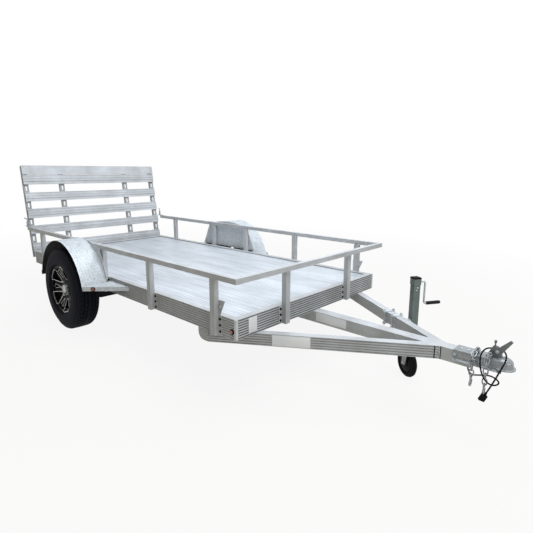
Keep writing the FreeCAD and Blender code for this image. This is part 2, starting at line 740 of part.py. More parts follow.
def tail_lamps():
    """Red bar lamps on the rear steps."""
    point, out = step_front_point(-1, 0.5)
    along = V(-out.y, out.x, 0)
    corner = point - along * (TAIL_LAMP_LONG / 2) - V(0, 0, TAIL_LAMP_HIGH / 2)
    face = [corner, corner + along * TAIL_LAMP_LONG,
            corner + along * TAIL_LAMP_LONG + V(0, 0, TAIL_LAMP_HIGH), corner + V(0, 0, TAIL_LAMP_HIGH)]
    lamp = prism(face, out * TAIL_LAMP_DEEP)
    return group([lamp, mirror(lamp)])


def tube_centre():
    """Centre line of the axle tube, ahead of the spindles by the torsion arm."""
    z = FRAME_BOTTOM - AXLE_BRACKET_PLATE - AXLE_TUBE / 2
    rise = AXLE_Z - z
    return AXLE_X + math.sqrt(ARM_LENGTH ** 2 - rise ** 2), z


def axle_tube():
    x, z = tube_centre()
    half = AXLE_TUBE / 2
    wall = AXLE_TUBE_WALL
    outer = box(x - half, x + half, -AXLE_TUBE_HALF, AXLE_TUBE_HALF, z - half, z + half)
    inner = box(x - half + wall, x + half - wall, -AXLE_TUBE_HALF, AXLE_TUBE_HALF,
                z - half + wall, z + half - wall)
    return outer.cut(inner)


def axle_brackets():
    """Plates bolted under the side rails that hold the axle tube."""
    x, z = tube_centre()
    right = box(x - AXLE_BRACKET_LONG / 2, x + AXLE_BRACKET_LONG / 2, -HALF, -HALF + AXLE_BRACKET_WIDE,
                FRAME_BOTTOM - AXLE_BRACKET_PLATE, FRAME_BOTTOM)
    return group([right, mirror(right)])


def torsion_arm():
    """Right trailing arm with its inner bar end and the wheel spindle."""
    x, z = tube_centre()
    y0 = -AXLE_TUBE_HALF
    y1 = y0 - ARM_THICK
    root = rod(34, V(x, y0, z), V(x, y1, z))
    tip = rod(28, V(AXLE_X, y0, AXLE_Z), V(AXLE_X, y1, AXLE_Z))
    along = V(AXLE_X - x, 0, AXLE_Z - z).normalize()
    across = V(-along.z, 0, along.x)
    a = V(x, y0, z)
    b = V(AXLE_X, y0, AXLE_Z)
    web = prism([a + across * 34, b + across * 28, b - across * 28, a - across * 34], V(0, -ARM_THICK, 0))
    hub_out = -TRACK_HALF - DISC_OUT + DISC_THICK
    spindle = rod(SPINDLE_RADIUS, V(AXLE_X, y1, AXLE_Z), V(AXLE_X, hub_out + 6, AXLE_Z))
    return fuse([root, tip, web, spindle])


def turned(profile):
    """Solid turned about the Y axis from edges whose X is the radius and Y the place along the axle."""
    return Part.Face(Part.Wire(profile)).revolve(V(0, 0, 0), Y_AXIS, 360)


def arc(*corners):
    """Arc through three (radius, place) pairs."""
    return Part.Arc(*[V(radius, place, 0) for radius, place in corners]).toShape()


def line(start, end):
    return Part.makeLine(V(start[0], start[1], 0), V(end[0], end[1], 0))


def flip(points):
    """The same (radius, place) pairs on the other side of the wheel, in the reverse order."""
    return [(radius, -place) for radius, place in reversed(points)]


def turned_outline(points):
    """Solid turned about the Y axis from (radius, place) pairs joined by straight runs."""
    return turned([line(a, b) for a, b in zip(points, points[1:] + points[:1])])


def tyre():
    """Tyre at the origin, axis along Y: beads on the rim seat, bulged sidewalls and a crowned tread."""
    bead = RIM_SEAT + SEAT_GAP
    bead_y = RIM_WIDE / 2 - RIM_FLANGE_THICK - SEAT_GAP
    toe_y = bead_y - TYRE_BEAD
    half = TYRE_WIDE / 2
    shoulder = (TYRE_RADIUS - TYRE_SHOULDER, half - TYRE_SHOULDER_IN)
    outside = [(bead, bead_y), (RIM_FLANGE + 1, bead_y), ((RIM_FLANGE + TYRE_BULGE) / 2, half - 6),
               (TYRE_BULGE, half), (TYRE_BELT, half - 4), shoulder,
               (TYRE_RADIUS - TYRE_CROWN, TYRE_TREAD_HALF)]
    ceiling = (shoulder[0] - TYRE_WALL, shoulder[1] - TYRE_WALL)
    inside = [ceiling, (TYRE_BULGE, half - TYRE_WALL), (bead, toe_y)]
    return turned_outline(outside + [(TYRE_RADIUS, 0)] + flip(outside) + flip(inside) + inside)


def rim():
    """Cast wheel at the origin, outer side towards -Y: stepped barrel and a dished disc of twin spokes."""
    half = RIM_WIDE / 2
    seat = RIM_SEAT
    well = RIM_WELL
    hump = seat - RIM_EDGE
    outer = [(RIM_FLANGE, -half), (RIM_FLANGE, RIM_LIP - half), (seat, RIM_FLANGE_THICK - half),
             (hump, RIM_HUMP - half), (well, RIM_DROP - half), (well, half - RIM_DROP_IN),
             (hump, half - RIM_HUMP), (seat, half - RIM_FLANGE_THICK), (RIM_FLANGE, half - RIM_LIP),
             (RIM_FLANGE, half)]
    inside = seat - RIM_WALL
    bottom = well - RIM_WALL
    inner = [(inside, half - RIM_EDGE), (inside - RIM_EDGE, half - RIM_HUMP),
             (bottom, half - RIM_DROP_IN + RIM_EDGE), (bottom, RIM_DROP - RIM_EDGE - half),
             (inside - RIM_EDGE, RIM_HUMP - RIM_EDGE - half), (inside, RIM_EDGE - half)]
    barrel = turned_outline(outer + inner)
    face = [(HUB_RADIUS - 8, -DISC_OUT), (DISC_FLAT, -DISC_OUT), (DISC_RISE, -DISC_EDGE_OUT),
            (DISC_REACH, -DISC_EDGE_OUT)]
    back = [(radius, place + DISC_THICK) for radius, place in reversed(face)]
    disc = turned_outline(face + back)
    for index in range(SPOKE_COUNT):
        turn = 360.0 / SPOKE_COUNT * index
        disc = disc.cut(window(turn, WINDOW, WINDOW_HALF))
        disc = disc.cut(window(turn + 180 / SPOKE_COUNT, SLOT, SLOT_HALF))
    return fuse([barrel, disc])


def window(turn, reach, half):
    """Rounded wedge through the wheel disc between two radii; half angles in degrees."""
    corners = [(reach[0] + WINDOW_CORNER, -half[0]), (reach[1] - WINDOW_CORNER, -half[1]),
               (reach[1], WINDOW_TURN - half[1]), (reach[1], half[1] - WINDOW_TURN),
               (reach[1] - WINDOW_CORNER, half[1]), (reach[0] + WINDOW_CORNER, half[0]), (reach[0], 0)]
    points = []
    for radius, degrees in corners:
        angle = math.radians(turn + degrees)
        points.append(V(radius * math.cos(angle), -DISC_EDGE_OUT - 1, radius * math.sin(angle)))
    return prism(points, V(0, DISC_EDGE_OUT - DISC_OUT + DISC_THICK + 2, 0))


def hub():
    """Hub with its bolt flange and dust cap; bored for the spindle."""
    face = -DISC_OUT + DISC_THICK
    flange = rod(HUB_FLANGE, V(0, face, 0), V(0, face + HUB_FLANGE_THICK, 0))
    body = rod(HUB_RADIUS, V(0, face, 0), V(0, face + HUB_LENGTH, 0))
    cap = rod(HUB_RADIUS - 9, V(0, face, 0), V(0, face - DISC_THICK - 6, 0))
    bore = rod(SPINDLE_RADIUS + SPINDLE_CLEARANCE, V(0, face + 2, 0), V(0, face + HUB_LENGTH, 0))
    return fuse([flange, body, cap]).cut(bore)


def at_wheel(shape):
    """Moves a piece of the right wheel from the origin to its place."""
    shape.translate(V(AXLE_X, -TRACK_HALF, AXLE_Z))
    return shape


def lean(shape):
    """Leans a piece of the gate back about the hinge line."""
    shape.rotate(V(HINGE_X, 0, HINGE_Z), Y_AXIS, -GATE_LEAN)
    return shape


def gate_box(n0, n1, y0, y1, u0, u1):
    """Box in gate terms: n forward from the hinge line, u up from it."""
    return box(HINGE_X + n0, HINGE_X + n1, y0, y1, HINGE_Z + u0, HINGE_Z + u1)


def slat(low, high):
    """Hollow slat whose front face is ribbed in three steps."""
    third = (high - low) / 3
    back = GATE_FACE - SLAT_THICK
    step = 3.0
    outline = [(back, low), (GATE_FACE - step, low), (GATE_FACE - step, low + third - step),
               (GATE_FACE, low + third), (GATE_FACE, low + 2 * third),
               (GATE_FACE - step, low + 2 * third + step), (GATE_FACE - step, high), (back, high)]
    points = [(HINGE_X + n, HINGE_Z + u) for n, u in outline]
    solid = prism_xz(points, -GATE_WIDTH / 2, GATE_WIDTH / 2)
    hole = gate_box(back + SLAT_WALL, GATE_FACE - step - SLAT_WALL, -GATE_WIDTH / 2, GATE_WIDTH / 2,
                    low + SLAT_WALL, high - SLAT_WALL)
    return solid.cut(hole)


def gate_slats():
    return lean(group([slat(low, high) for low, high in SLAT_HEIGHTS]))


def gate_top_plate():
    """Bevelled plate that becomes the ramp's toe."""
    low, high = TOP_PLATE
    back = GATE_FACE - SLAT_THICK
    outline = [(back, low), (GATE_FACE, low), (GATE_FACE, high - TOP_PLATE_BEVEL),
               (back + SLAT_WALL, high), (back, high)]
    points = [(HINGE_X + n, HINGE_Z + u) for n, u in outline]
    return lean(prism_xz(points, -GATE_WIDTH / 2, GATE_WIDTH / 2))


def gate_support(y, hinge_y):
    """Upright channel behind the slats with its hinge barrel."""
    outer = gate_box(SUPPORT_BACK, SUPPORT_FRONT, y - SUPPORT_WIDE / 2, y + SUPPORT_WIDE / 2,
                     SUPPORT_FOOT, TOP_PLATE[1] - 6)
    inner = gate_box(SUPPORT_BACK - 1, SUPPORT_FRONT - SUPPORT_WALL, y - SUPPORT_WIDE / 2 + SUPPORT_WALL,
                     y + SUPPORT_WIDE / 2 - SUPPORT_WALL, SUPPORT_FOOT - 1, TOP_PLATE[1])
    half = HINGE_BARREL_LONG / 2
    centre = V(HINGE_X, hinge_y, HINGE_Z)
    barrel = rod(HINGE_BARREL, centre - Y_AXIS * half, centre + Y_AXIS * half)
    lug = gate_box(SUPPORT_FRONT - SUPPORT_WALL, SUPPORT_FRONT, hinge_y - half, hinge_y + half,
                   0, SUPPORT_FOOT + HINGE_BARREL)
    bore = rod(HINGE_PIN + HINGE_CLEARANCE, centre - Y_AXIS * half, centre + Y_AXIS * half)
    channel = outer.cut(inner)
    for below, above in zip(SLAT_HEIGHTS, SLAT_HEIGHTS[1:]):
        middle = (below[1] + above[0]) / 2
        channel = channel.cut(gate_box(SUPPORT_BACK, SUPPORT_FRONT + 1, y - SUPPORT_SLOT_WIDE / 2,
                                       y + SUPPORT_SLOT_WIDE / 2, middle - SUPPORT_SLOT_HIGH / 2,
                                       middle + SUPPORT_SLOT_HIGH / 2))
    return fuse([channel, barrel, lug]).cut(bore)


def gate_supports():
    supports = [gate_support(y, hinge_y) for y, hinge_y in zip(SUPPORT_Y, HINGE_Y)]
    return lean(group(supports))


def gate_hinges():
    """Ears on the rear rail with the pins that carry the gate."""
    shapes = []
    for y in HINGE_Y:
        ears = []
        start = HINGE_BARREL_LONG / 2 + HINGE_SIDE_GAP
        for side in (-1, 1):
            y0 = y + side * start
            y1 = y + side * (start + HINGE_EAR)
            low = min(y0, y1)
            plate = box(HINGE_X, -FRAME_LENGTH, low, low + HINGE_EAR,
                        HINGE_Z - HINGE_BARREL, HINGE_Z + HINGE_BARREL)
            eye = rod(HINGE_BARREL, V(HINGE_X, low, HINGE_Z), V(HINGE_X, low + HINGE_EAR, HINGE_Z))
            ears += [plate, eye]
        reach = start + HINGE_EAR
        pin = rod(HINGE_PIN, V(HINGE_X, y - reach, HINGE_Z), V(HINGE_X, y + reach, HINGE_Z))
        shapes.append(fuse(ears + [pin]))
    return group(shapes)


def gate_latch():
    """Right spring latch: plate on the rail's rear end, barrel and drawn pin with a bent handle."""
    y0 = -TOP_RAIL_OUT
    plate_top = TOP_RAIL_TOP + LATCH_PLATE
    plate = box(TOP_RAIL_REAR - LATCH_REACH, TOP_RAIL_REAR + LATCH_HOLD, y0, y0 + TOP_RAIL,
                TOP_RAIL_TOP, plate_top)
    x = TOP_RAIL_REAR - LATCH_REACH / 2
    y = y0 + TOP_RAIL / 2
    top = plate_top + LATCH_BARREL_HIGH
    barrel = rod(LATCH_BARREL, V(x, y, plate_top), V(x, y, top))
    knee = V(x, y, top + LATCH_HANDLE_UP)
    back, out, up = LATCH_HANDLE
    handle = bent_rod([V(x, y, top), knee, knee + V(-back, -out, up)], [LATCH_HANDLE_BEND], LATCH_PIN)
    return fuse([plate, barrel, handle])


def gate_latches():
    latch = gate_latch()
    return group([latch, mirror(latch)])


def jack_place():
    """Foot of the jack's axis on the datum, and unit vectors along the member and away from it."""
    turn = math.radians(SIDE_ANGLE)
    along = V(math.cos(turn), -math.sin(turn), 0)
    out = V(math.sin(turn), math.cos(turn), 0)
    face = V(JACK_ALONG, SIDE_SPREAD - SIDE_SLOPE * JACK_ALONG, 0)
    return face + out * JACK_OFFSET, along, out


def at_jack(shape):
    """Turns a piece drawn at the origin (X along the member, Y away from it) to the jack's place."""
    centre, along, out = jack_place()
    shape.rotate(V(0, 0, 0), Z_AXIS, -SIDE_ANGLE)
    shape.translate(centre)
    return shape


def square_tube_z(size, wall, z0, z1):
    half = size / 2
    outer = box(-half, half, -half, half, z0, z1)
    inner = box(wall - half, half - wall, wall - half, half - wall, z0, z1)
    return outer.cut(inner)


def pivot_height():
    return TONGUE_BOTTOM + TONGUE_HEIGHT / 2


def jack_mount():
    """Plate on the member's outer face, straps round the member and the pivot boss."""
    face = -JACK_OFFSET
    z = pivot_height()
    plate = box(-JACK_PLATE_LONG + 40, 40, face, face + JACK_PLATE, TONGUE_BOTTOM, TONGUE_TOP)
    boss = rod(JACK_PIVOT_RADIUS, V(0, face, z), V(0, -JACK_TUBE / 2 - JACK_PLATE - RUN_GAP, z))
    shapes = [plate, boss]
    t = JACK_STRAP_THICK
    inner = face - SIDE_WIDE
    tab = inner - t - JACK_STRAP_TAB
    for x in JACK_STRAP_PLACES:
        x1 = x + JACK_STRAP
        shapes.append(box(x, x1, tab, face + JACK_PLATE, TONGUE_TOP, TONGUE_TOP + t))
        shapes.append(box(x, x1, tab, face + JACK_PLATE, TONGUE_BOTTOM - t, TONGUE_BOTTOM))
        shapes.append(box(x, x1, inner - t, inner, TONGUE_BOTTOM, TONGUE_TOP))
    return at_jack(fuse(shapes))


def jack_tube():
    """Outer tube with gear head and pivot plate."""
    tube = square_tube_z(JACK_TUBE, JACK_TUBE_WALL, JACK_FOOT, JACK_TOP - JACK_HEAD_HIGH)
    half = JACK_HEAD / 2
    head = box(-half, half, -half, half, JACK_TOP - JACK_HEAD_HIGH, JACK_TOP)
    z = pivot_height()
    plate = rod(JACK_PIVOT_RADIUS, V(0, -JACK_TUBE / 2 - JACK_PLATE, z), V(0, -JACK_TUBE / 2, z))
    return at_jack(fuse([tube, head, plate]))


def crank_start():
    return V(0, JACK_HEAD / 2, JACK_TOP - CRANK_DROP)


def jack_crank():
    """Side-wind crank: shaft, long arm and the stub inside the grip."""
    a = crank_start()
    b = a + V(0, CRANK_REACH, 0)
    c = b - V(0, 0, CRANK_ARM)
    d = c + V(0, CRANK_GRIP_LONG + 14, 0)
    bend = 14
    return at_jack(bent_rod([a, b, c, d], [bend, bend], CRANK_ROD))


def jack_grip():
    """Black sleeve on the crank's end."""
    c = crank_start() + V(0, CRANK_REACH + 16, -CRANK_ARM)
    sleeve = ring(CRANK_GRIP_RADIUS, CRANK_ROD + 0.05, c, c + V(0, CRANK_GRIP_LONG - 4, 0))
    return at_jack(sleeve)


def jack_leg():
    """Inner tube that the screw runs in and out."""
    return at_jack(square_tube_z(LEG_TUBE, JACK_TUBE_WALL, LEG_FOOT, LEG_FOOT + LEG_INSIDE))


def fork_top():
    return LEG_FOOT - RUN_GAP


def caster_fork():
    """Folded fork under the leg; the axle sits behind the swivel line by the trail."""
    inner = CASTER_WIDE / 2 + FORK_GAP
    outer = inner + FORK_SHEET
    top = fork_top()
    axle_z = CASTER_BOTTOM + CASTER_RADIUS
    crown = box(-CASTER_TRAIL - FORK_WIDE / 2, FORK_WIDE, -outer, outer, top - FORK_SHEET - 3, top)
    leg_points = [(-CASTER_TRAIL - FORK_WIDE / 2, top - FORK_SHEET), (FORK_WIDE / 2, top - FORK_SHEET),
                  (-CASTER_TRAIL + FORK_WIDE / 2, axle_z - 14), (-CASTER_TRAIL - FORK_WIDE / 2, axle_z - 14)]
    legs = [prism_xz(leg_points, inner, outer), prism_xz(leg_points, -outer, -inner)]
    axle = rod(CASTER_AXLE, V(-CASTER_TRAIL, -outer - 3, axle_z), V(-CASTER_TRAIL, outer + 3, axle_z))
    spigot = rod(LEG_TUBE / 2 - JACK_TUBE_WALL - 1, V(0, 0, top), V(0, 0, top + 30))
    return at_jack(fuse([crown, axle, spigot] + legs))


def caster_wheel():
    """Solid wheel with a crowned tread and recessed sides."""
    half = CASTER_WIDE / 2
    bore = CASTER_AXLE + CASTER_CLEARANCE
    rim_radius = CASTER_RADIUS - CASTER_TREAD
    side = [(bore, half), (CASTER_HUB, half), (CASTER_HUB + 4, half - 12), (rim_radius - 6, half - 12),
            (rim_radius, half - 3), (CASTER_RADIUS - CASTER_SHOULDER, half - 3),
            (CASTER_RADIUS - 3, half - 11)]
    wheel = turned_outline(side + [(CASTER_RADIUS, 0)] + flip(side))
    wheel.translate(V(-CASTER_TRAIL, 0, CASTER_BOTTOM + CASTER_RADIUS))
    return at_jack(wheel)


def chain_link():
    """One link round the origin, long side along Z, lying in the X-Z plane, of straight six-sided runs."""
    radius = CHAIN_WIDTH / 2 - CHAIN_WIRE / 2
    corners = []
    for end in (1, -1):
        for index in range(CHAIN_BENDS + 1):
            turn = math.pi * index / CHAIN_BENDS
            corners.append(V(end * radius * math.cos(turn), 0,
                             end * (CHAIN_STRAIGHT / 2 + radius * math.sin(turn))))
    start = (corners[-1] + corners[0]) * 0.5
    path = Part.makePolygon([start] + corners + [start])
    section = []
    for index in range(6):
        turn = math.radians(60 * index)
        section.append(start + V(math.cos(turn), math.sin(turn), 0) * (CHAIN_WIRE / 2))
    return path.makePipeShell([Part.makePolygon(section + [section[0]])], True, False, 1)


def drape(distance, lay):
    """Place and turn of a link that far along the chain's way over the coupler and down its side."""
    bend = CHAIN_SIDE - lay
    arc = math.pi / 2 * bend
    if distance <= lay:
        return -distance, CHAIN_TOP, 90.0
    if distance <= lay + arc:
        turn = (distance - lay) / bend
        fall = bend * (1 - math.cos(turn))
        return -lay - bend * math.sin(turn), CHAIN_TOP - fall, 90.0 + math.degrees(turn)
    return -CHAIN_SIDE, CHAIN_TOP - bend - (distance - lay - arc), 180.0


def safety_chain(x, start):
    """Chain bolted on the coupler's top, draped over its right side, with a hook on the end."""
    shapes = []
    pitch = CHAIN_WIDTH - 2 * CHAIN_WIRE + CHAIN_STRAIGHT - CHAIN_PLAY
    lay = max(CHAIN_LAY, start)
    bend_end = lay + math.pi / 2 * (CHAIN_SIDE - lay)
    distance = start
    for index in range(CHAIN_LINKS):
        if index:
            bent = max(0.0, min(distance + pitch, bend_end) - max(distance, lay))
            distance += pitch - CHAIN_BEND_PLAY * bent / pitch
        y, z, turn = drape(distance, lay)
        link = chain_link()
        if index % 2:
            link.rotate(V(0, 0, 0), Z_AXIS, 90)
        link.rotate(V(0, 0, 0), X_AXIS, turn)
        link.translate(V(x, y, z))
        shapes.append(link)
    shapes.append(chain_hook(x, y, z))
    seat = TONGUE_TOP + RUN_GAP / 2 + COUPLER_WALL
    bolt_y = -start + CHAIN_STRAIGHT / 2
    link_top = CHAIN_TOP + CHAIN_WIRE / 2
    link_under = CHAIN_TOP - CHAIN_WIRE / 2
    shank = rod(CHAIN_BOLT, V(x, bolt_y, seat), V(x, bolt_y, link_top + CHAIN_BOLT_HEAD))
    spacer = rod(CHAIN_BOLT_WIDE, V(x, bolt_y, seat), V(x, bolt_y, link_under - SEAT_GAP))
    head = rod(CHAIN_BOLT_WIDE, V(x, bolt_y, link_top + SEAT_GAP), V(x, bolt_y, link_top + CHAIN_BOLT_HEAD))
    shapes.append(fuse([shank, spacer, head]))
    return group(shapes)


def many_sided(radius, x0, x1, y, z):
    """Upright plate with ten sides, centred at (y, z)."""
    points = []
    for index in range(HOOK_SIDES):
        angle = 2 * math.pi * (index + 0.5) / HOOK_SIDES
        points.append((y + radius * math.cos(angle), z + radius * math.sin(angle)))
    return prism_yz(points, x0, x1)


def chain_hook(x, y, z):
    """Flat forged hook whose eye hangs in the last link, which is centred at that place."""
    wire_top = z - CHAIN_STRAIGHT / 2 - CHAIN_WIDTH / 2 + CHAIN_WIRE
    bay = CHAIN_WIDTH / 2 - CHAIN_WIRE
    rise = bay - math.sqrt(bay ** 2 - (HOOK_THICK / 2) ** 2)
    centre = wire_top + rise + 3 * SEAT_GAP - HOOK_HOLE
    x0 = x - HOOK_THICK / 2
    x1 = x + HOOK_THICK / 2
    eye = many_sided(HOOK_EYE, x0, x1, y, centre).cut(many_sided(HOOK_HOLE, x0, x1, y, centre))
    low = centre - HOOK_DROP
    bowl = many_sided(HOOK_BOWL + 6, x0, x1, y, low).cut(many_sided(HOOK_BOWL - 5, x0, x1, y, low))
    mouth = box(x0 - 1, x1 + 1, y + 1, y + HOOK_BOWL + 8, low + 3, low + HOOK_BOWL + 8)
    shank = box(x0, x1, y - 6, y + 6, low + HOOK_BOWL - 3, centre - HOOK_HOLE - 2)
    tip = box(x0, x1, y + HOOK_BOWL - 4, y + HOOK_BOWL + 6, low + 2, low + 12)
    return fuse([eye, bowl.cut(mouth), shank, tip])


# Route of the wiring lead: out of the tongue's underside, round itself, up the right side,
# over the coupler behind the latch and down to the plug
LEAD_ROUTE = [
    V(1015, -6, 313), V(1015, -6, 284), V(1041, -12, 266), V(1082, -22, 282), V(1110, -32, 296),
    V(1142, -44, 306), V(1178, -72, 309), V(1196, -100, 304), V(1180, -129, 298), V(1148, -132, 302),
    V(1122, -122, 326), V(1104, -106, 357), V(1094, -90, 390), V(1088, -62, 414), V(1090, -28, 426),
    V(1098, 4, 431), V(1120, 27, 430), V(1152, 33, 434), V(1180, 20, 427), V(1194, -8, 418),
    V(1200, -38, 408), V(1197, -66, 390), V(1189, -86, 363), V(1179, -98, 331), V(1168, -104, 300),
    V(1156, -108, 268), V(1144, -112, 240),
]


def lead_radii(route):
    radii = []
    for before, corner, after in zip(route, route[1:], route[2:]):
        run = min((corner - before).Length, (after - corner).Length)
        turn = (corner - before).getAngle(after - corner)
        radii.append(0.45 * run / math.tan(turn / 2))
    return radii


def wiring_lead():
    radii = lead_radii(LEAD_ROUTE)
    print("lead radii", [round(value, 1) for value in radii])
    path = bent_path(LEAD_ROUTE, radii)
    lead = bent_rod(LEAD_ROUTE, radii, LEAD_DIAMETER / 2)
    area = math.pi * LEAD_DIAMETER ** 2 / 4
    print("lead length", round(path.Length, 1), "volume share", round(lead.Volume / (area * path.Length), 4))
    return lead


def wiring_plug():
    """Flat four-way plug with a round neck, in line with the lead's end."""
    tip = LEAD_ROUTE[-1]
    way = (tip - LEAD_ROUTE[-2]).normalize()
    neck = rod(PLUG_NECK_RADIUS, V(0, 0, 0), V(0, 0, PLUG_NECK))
    body = box(-PLUG_WIDE / 2, PLUG_WIDE / 2, -PLUG_THICK / 2, PLUG_THICK / 2, PLUG_NECK - 2, PLUG_LONG)
    plug = fuse([neck, body])
    plug.Placement = FreeCAD.Placement(tip, FreeCAD.Rotation(Z_AXIS, way))
    return plug


def pitch_angle():
    """Nose-up angle at which the tyres and the jack wheel stand on one plane."""
    centre, along, out = jack_place()
    caster_x = centre.x - along.x * CASTER_TRAIL
    caster_z = CASTER_BOTTOM + CASTER_RADIUS
    span = caster_x - AXLE_X
    drop = AXLE_Z - caster_z
    reach = math.hypot(span, drop)
    return math.degrees(math.atan2(drop, span) - math.asin((TYRE_RADIUS - CASTER_RADIUS) / reach))


def build():
    pieces = {
        "side_rail_right": side_rail(),
        "side_rail_left": mirror(side_rail()),
        "front_rail": end_rail(True),
        "rear_rail": end_rail(False),
        "corner_trims": corner_trims(),
        "cross_members": cross_members(),
        "deck_planks": deck_planks(),
        "tongue_centre": tongue_centre(),
        "tongue_side_right": tongue_side(),
        "tongue_side_left": mirror(tongue_side()),
        "coupler_body": coupler_body(),
        "coupler_latch": coupler_latch(),
        "top_rail_front": top_rail_front(),
        "top_rail_right": top_rail_side(),
        "top_rail_left": mirror(top_rail_side()),
        "posts_right": posts_right(),
        "posts_left": mirror(posts_right()),
        "posts_front": posts_front(),
        "post_gussets": post_gussets(),
        "fender_arch_right": fender_arch(),
        "fender_arch_left": mirror(fender_arch()),
        "fender_backing_right": fender_backing(),
        "fender_backing_left": mirror(fender_backing()),
        "fender_steps": fender_steps(),
        "marker_lamps": marker_lamps(),
        "tail_lamps": tail_lamps(),
        "axle_tube": axle_tube(),
        "axle_brackets": axle_brackets(),
        "torsion_arm_right": torsion_arm(),
        "torsion_arm_left": mirror(torsion_arm()),
        "tyre_right": at_wheel(tyre()),
        "tyre_left": mirror(at_wheel(tyre())),
        "rim_right": at_wheel(rim()),
        "rim_left": mirror(at_wheel(rim())),
        "hub_right": at_wheel(hub()),
        "hub_left": mirror(at_wheel(hub())),
        "gate_slats": gate_slats(),
        "gate_top_plate": gate_top_plate(),
        "gate_supports": gate_supports(),
        "gate_hinges": gate_hinges(),
        "gate_latches": gate_latches(),
        "jack_mount": jack_mount(),
        "jack_tube": jack_tube(),
        "jack_crank": jack_crank(),
        "jack_grip": jack_grip(),
        "jack_leg": jack_leg(),
        "caster_fork": caster_fork(),
        "caster_wheel": caster_wheel(),
        "safety_chain_rear": safety_chain(CHAIN_X_REAR, CHAIN_START_REAR),
        "safety_chain_front": safety_chain(CHAIN_X_FRONT, CHAIN_START_FRONT),
        "wiring_lead": wiring_lead(),
        "wiring_plug": wiring_plug(),
    }
    return pieces


def stand(pieces):
    """Tips the trailer on its wheels and puts the origin under the middle of its box."""
    pitch = pitch_angle()
    for shape in pieces.values():
        shape.rotate(V(AXLE_X, 0, AXLE_Z), Y_AXIS, -pitch)
    whole = FreeCAD.BoundBox()
    for shape in pieces.values():
        whole.add(shape.optimalBoundingBox(False))
    shift = V(-(whole.XMin + whole.XMax) / 2, 0, -whole.ZMin)
    for shape in pieces.values():
        shape.translate(shift)
    print("pitch", round(pitch, 4), "shift", shift, "box", whole.XLength, whole.YLength, whole.ZLength)
    return pitch, shift


def main():
    os.makedirs("parts", exist_ok=True)
    pieces = build()
    stand(pieces)
    for name, shape in pieces.items():
        print(name, "solids", len(shape.Solids), "valid", shape.isValid(), round(shape.Volume / 1e6, 3))
        shape.exportStep("parts/" + name + ".step")


main()
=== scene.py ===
"""Looks of a small aluminium utility trailer with a ramp gate, parked on its tongue jack.

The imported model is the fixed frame. Sizes here are metres in the trailer's own level
frame: X forward from the front face of the deck, Y to the left, Z up. Stance tips each
finished piece nose up, as the trailer stands.
"""

from __future__ import annotations

import json
import logging
import math
from collections.abc import Callable, Iterator, Sequence
from contextlib import contextmanager
from dataclasses import dataclass, replace
from enum import Enum

import bmesh
import bpy
from mathutils import Matrix, Vector

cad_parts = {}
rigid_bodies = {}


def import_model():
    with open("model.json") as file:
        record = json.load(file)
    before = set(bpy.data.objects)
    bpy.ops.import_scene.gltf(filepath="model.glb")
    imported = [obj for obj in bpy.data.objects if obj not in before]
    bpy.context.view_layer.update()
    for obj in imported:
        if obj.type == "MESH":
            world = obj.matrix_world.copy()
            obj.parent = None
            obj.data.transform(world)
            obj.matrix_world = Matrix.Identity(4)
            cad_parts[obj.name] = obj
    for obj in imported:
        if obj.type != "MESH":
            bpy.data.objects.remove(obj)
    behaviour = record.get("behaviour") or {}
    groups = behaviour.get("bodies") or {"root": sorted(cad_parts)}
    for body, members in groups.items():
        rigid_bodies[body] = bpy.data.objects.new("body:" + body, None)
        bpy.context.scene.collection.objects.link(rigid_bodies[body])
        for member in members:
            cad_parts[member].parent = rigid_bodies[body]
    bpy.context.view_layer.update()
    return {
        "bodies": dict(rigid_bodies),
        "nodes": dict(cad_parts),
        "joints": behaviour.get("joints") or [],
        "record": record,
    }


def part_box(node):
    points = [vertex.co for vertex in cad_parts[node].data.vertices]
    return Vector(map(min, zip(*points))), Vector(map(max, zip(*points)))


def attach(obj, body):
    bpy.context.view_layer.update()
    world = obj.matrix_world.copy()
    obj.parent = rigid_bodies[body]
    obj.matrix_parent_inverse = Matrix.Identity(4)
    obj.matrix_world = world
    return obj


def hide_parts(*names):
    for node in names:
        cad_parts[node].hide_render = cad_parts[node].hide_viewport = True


LOG = logging.getLogger("trailer")

# Places, an angle and a slope that several sub-assemblies share
WHEEL_MIDDLE = (-1.815, 0.0, 0.387)
ARCH_MIDDLE = (-1.815, 0.0, 0.386)
GATE_LEAN = 8.06
TONGUE_SLOPE = 0.645
TONGUE_SPREAD = 0.600

# Middle of a noise, of a wave's height and of the picture
HALF = 0.5

Piece = bpy.types.Object
Point = Sequence[float]
Pair = tuple[float, float]
Triple = tuple[float, float, float]


class Slot(str, Enum):
    """Material slots of the trailer."""

    EXTRUDED = "extruded_aluminium"
    DECK = "deck_aluminium"
    TRIM = "trim_aluminium"
    TREAD_PLATE = "tread_plate"
    GALVANISED = "galvanised_steel"
    BLACK_STEEL = "black_steel"
    ZINC = "zinc_steel"
    GRIP = "black_grip"
    RUBBER = "black_rubber"
    TYRE = "tyre_rubber"
    WHEEL = "wheel_black"
    AMBER = "amber_lens"
    RED = "red_lens"
    CABLE = "black_cable"


class Body(str, Enum):
    """Moving bodies that carry pieces of the scene."""

    ROOT = "root"
    WHEEL_RIGHT = "wheel_right"
    WHEEL_LEFT = "wheel_left"
    GATE = "gate"
    JACK = "jack"
    CASTER = "caster"
    ROLLER = "caster_roller"


class Run(Enum):
    """Direction in which a metal was drawn or rolled, as noise scales along X, Y and Z."""

    ALONG = (2.0, 150.0, 150.0)
    ACROSS = (150.0, 2.0, 150.0)
    UPRIGHT = (150.0, 150.0, 2.0)
    EVEN = (22.0, 22.0, 22.0)


class Tone(Enum):
    """How light a piece is beside the others of its slot; on the gate's uprights and the jack's
    rivets it is painted shade and highlight.
    """

    PLAIN = 1.0
    BRIGHT = 1.3
    DULL = 0.66
    DARK = 0.36


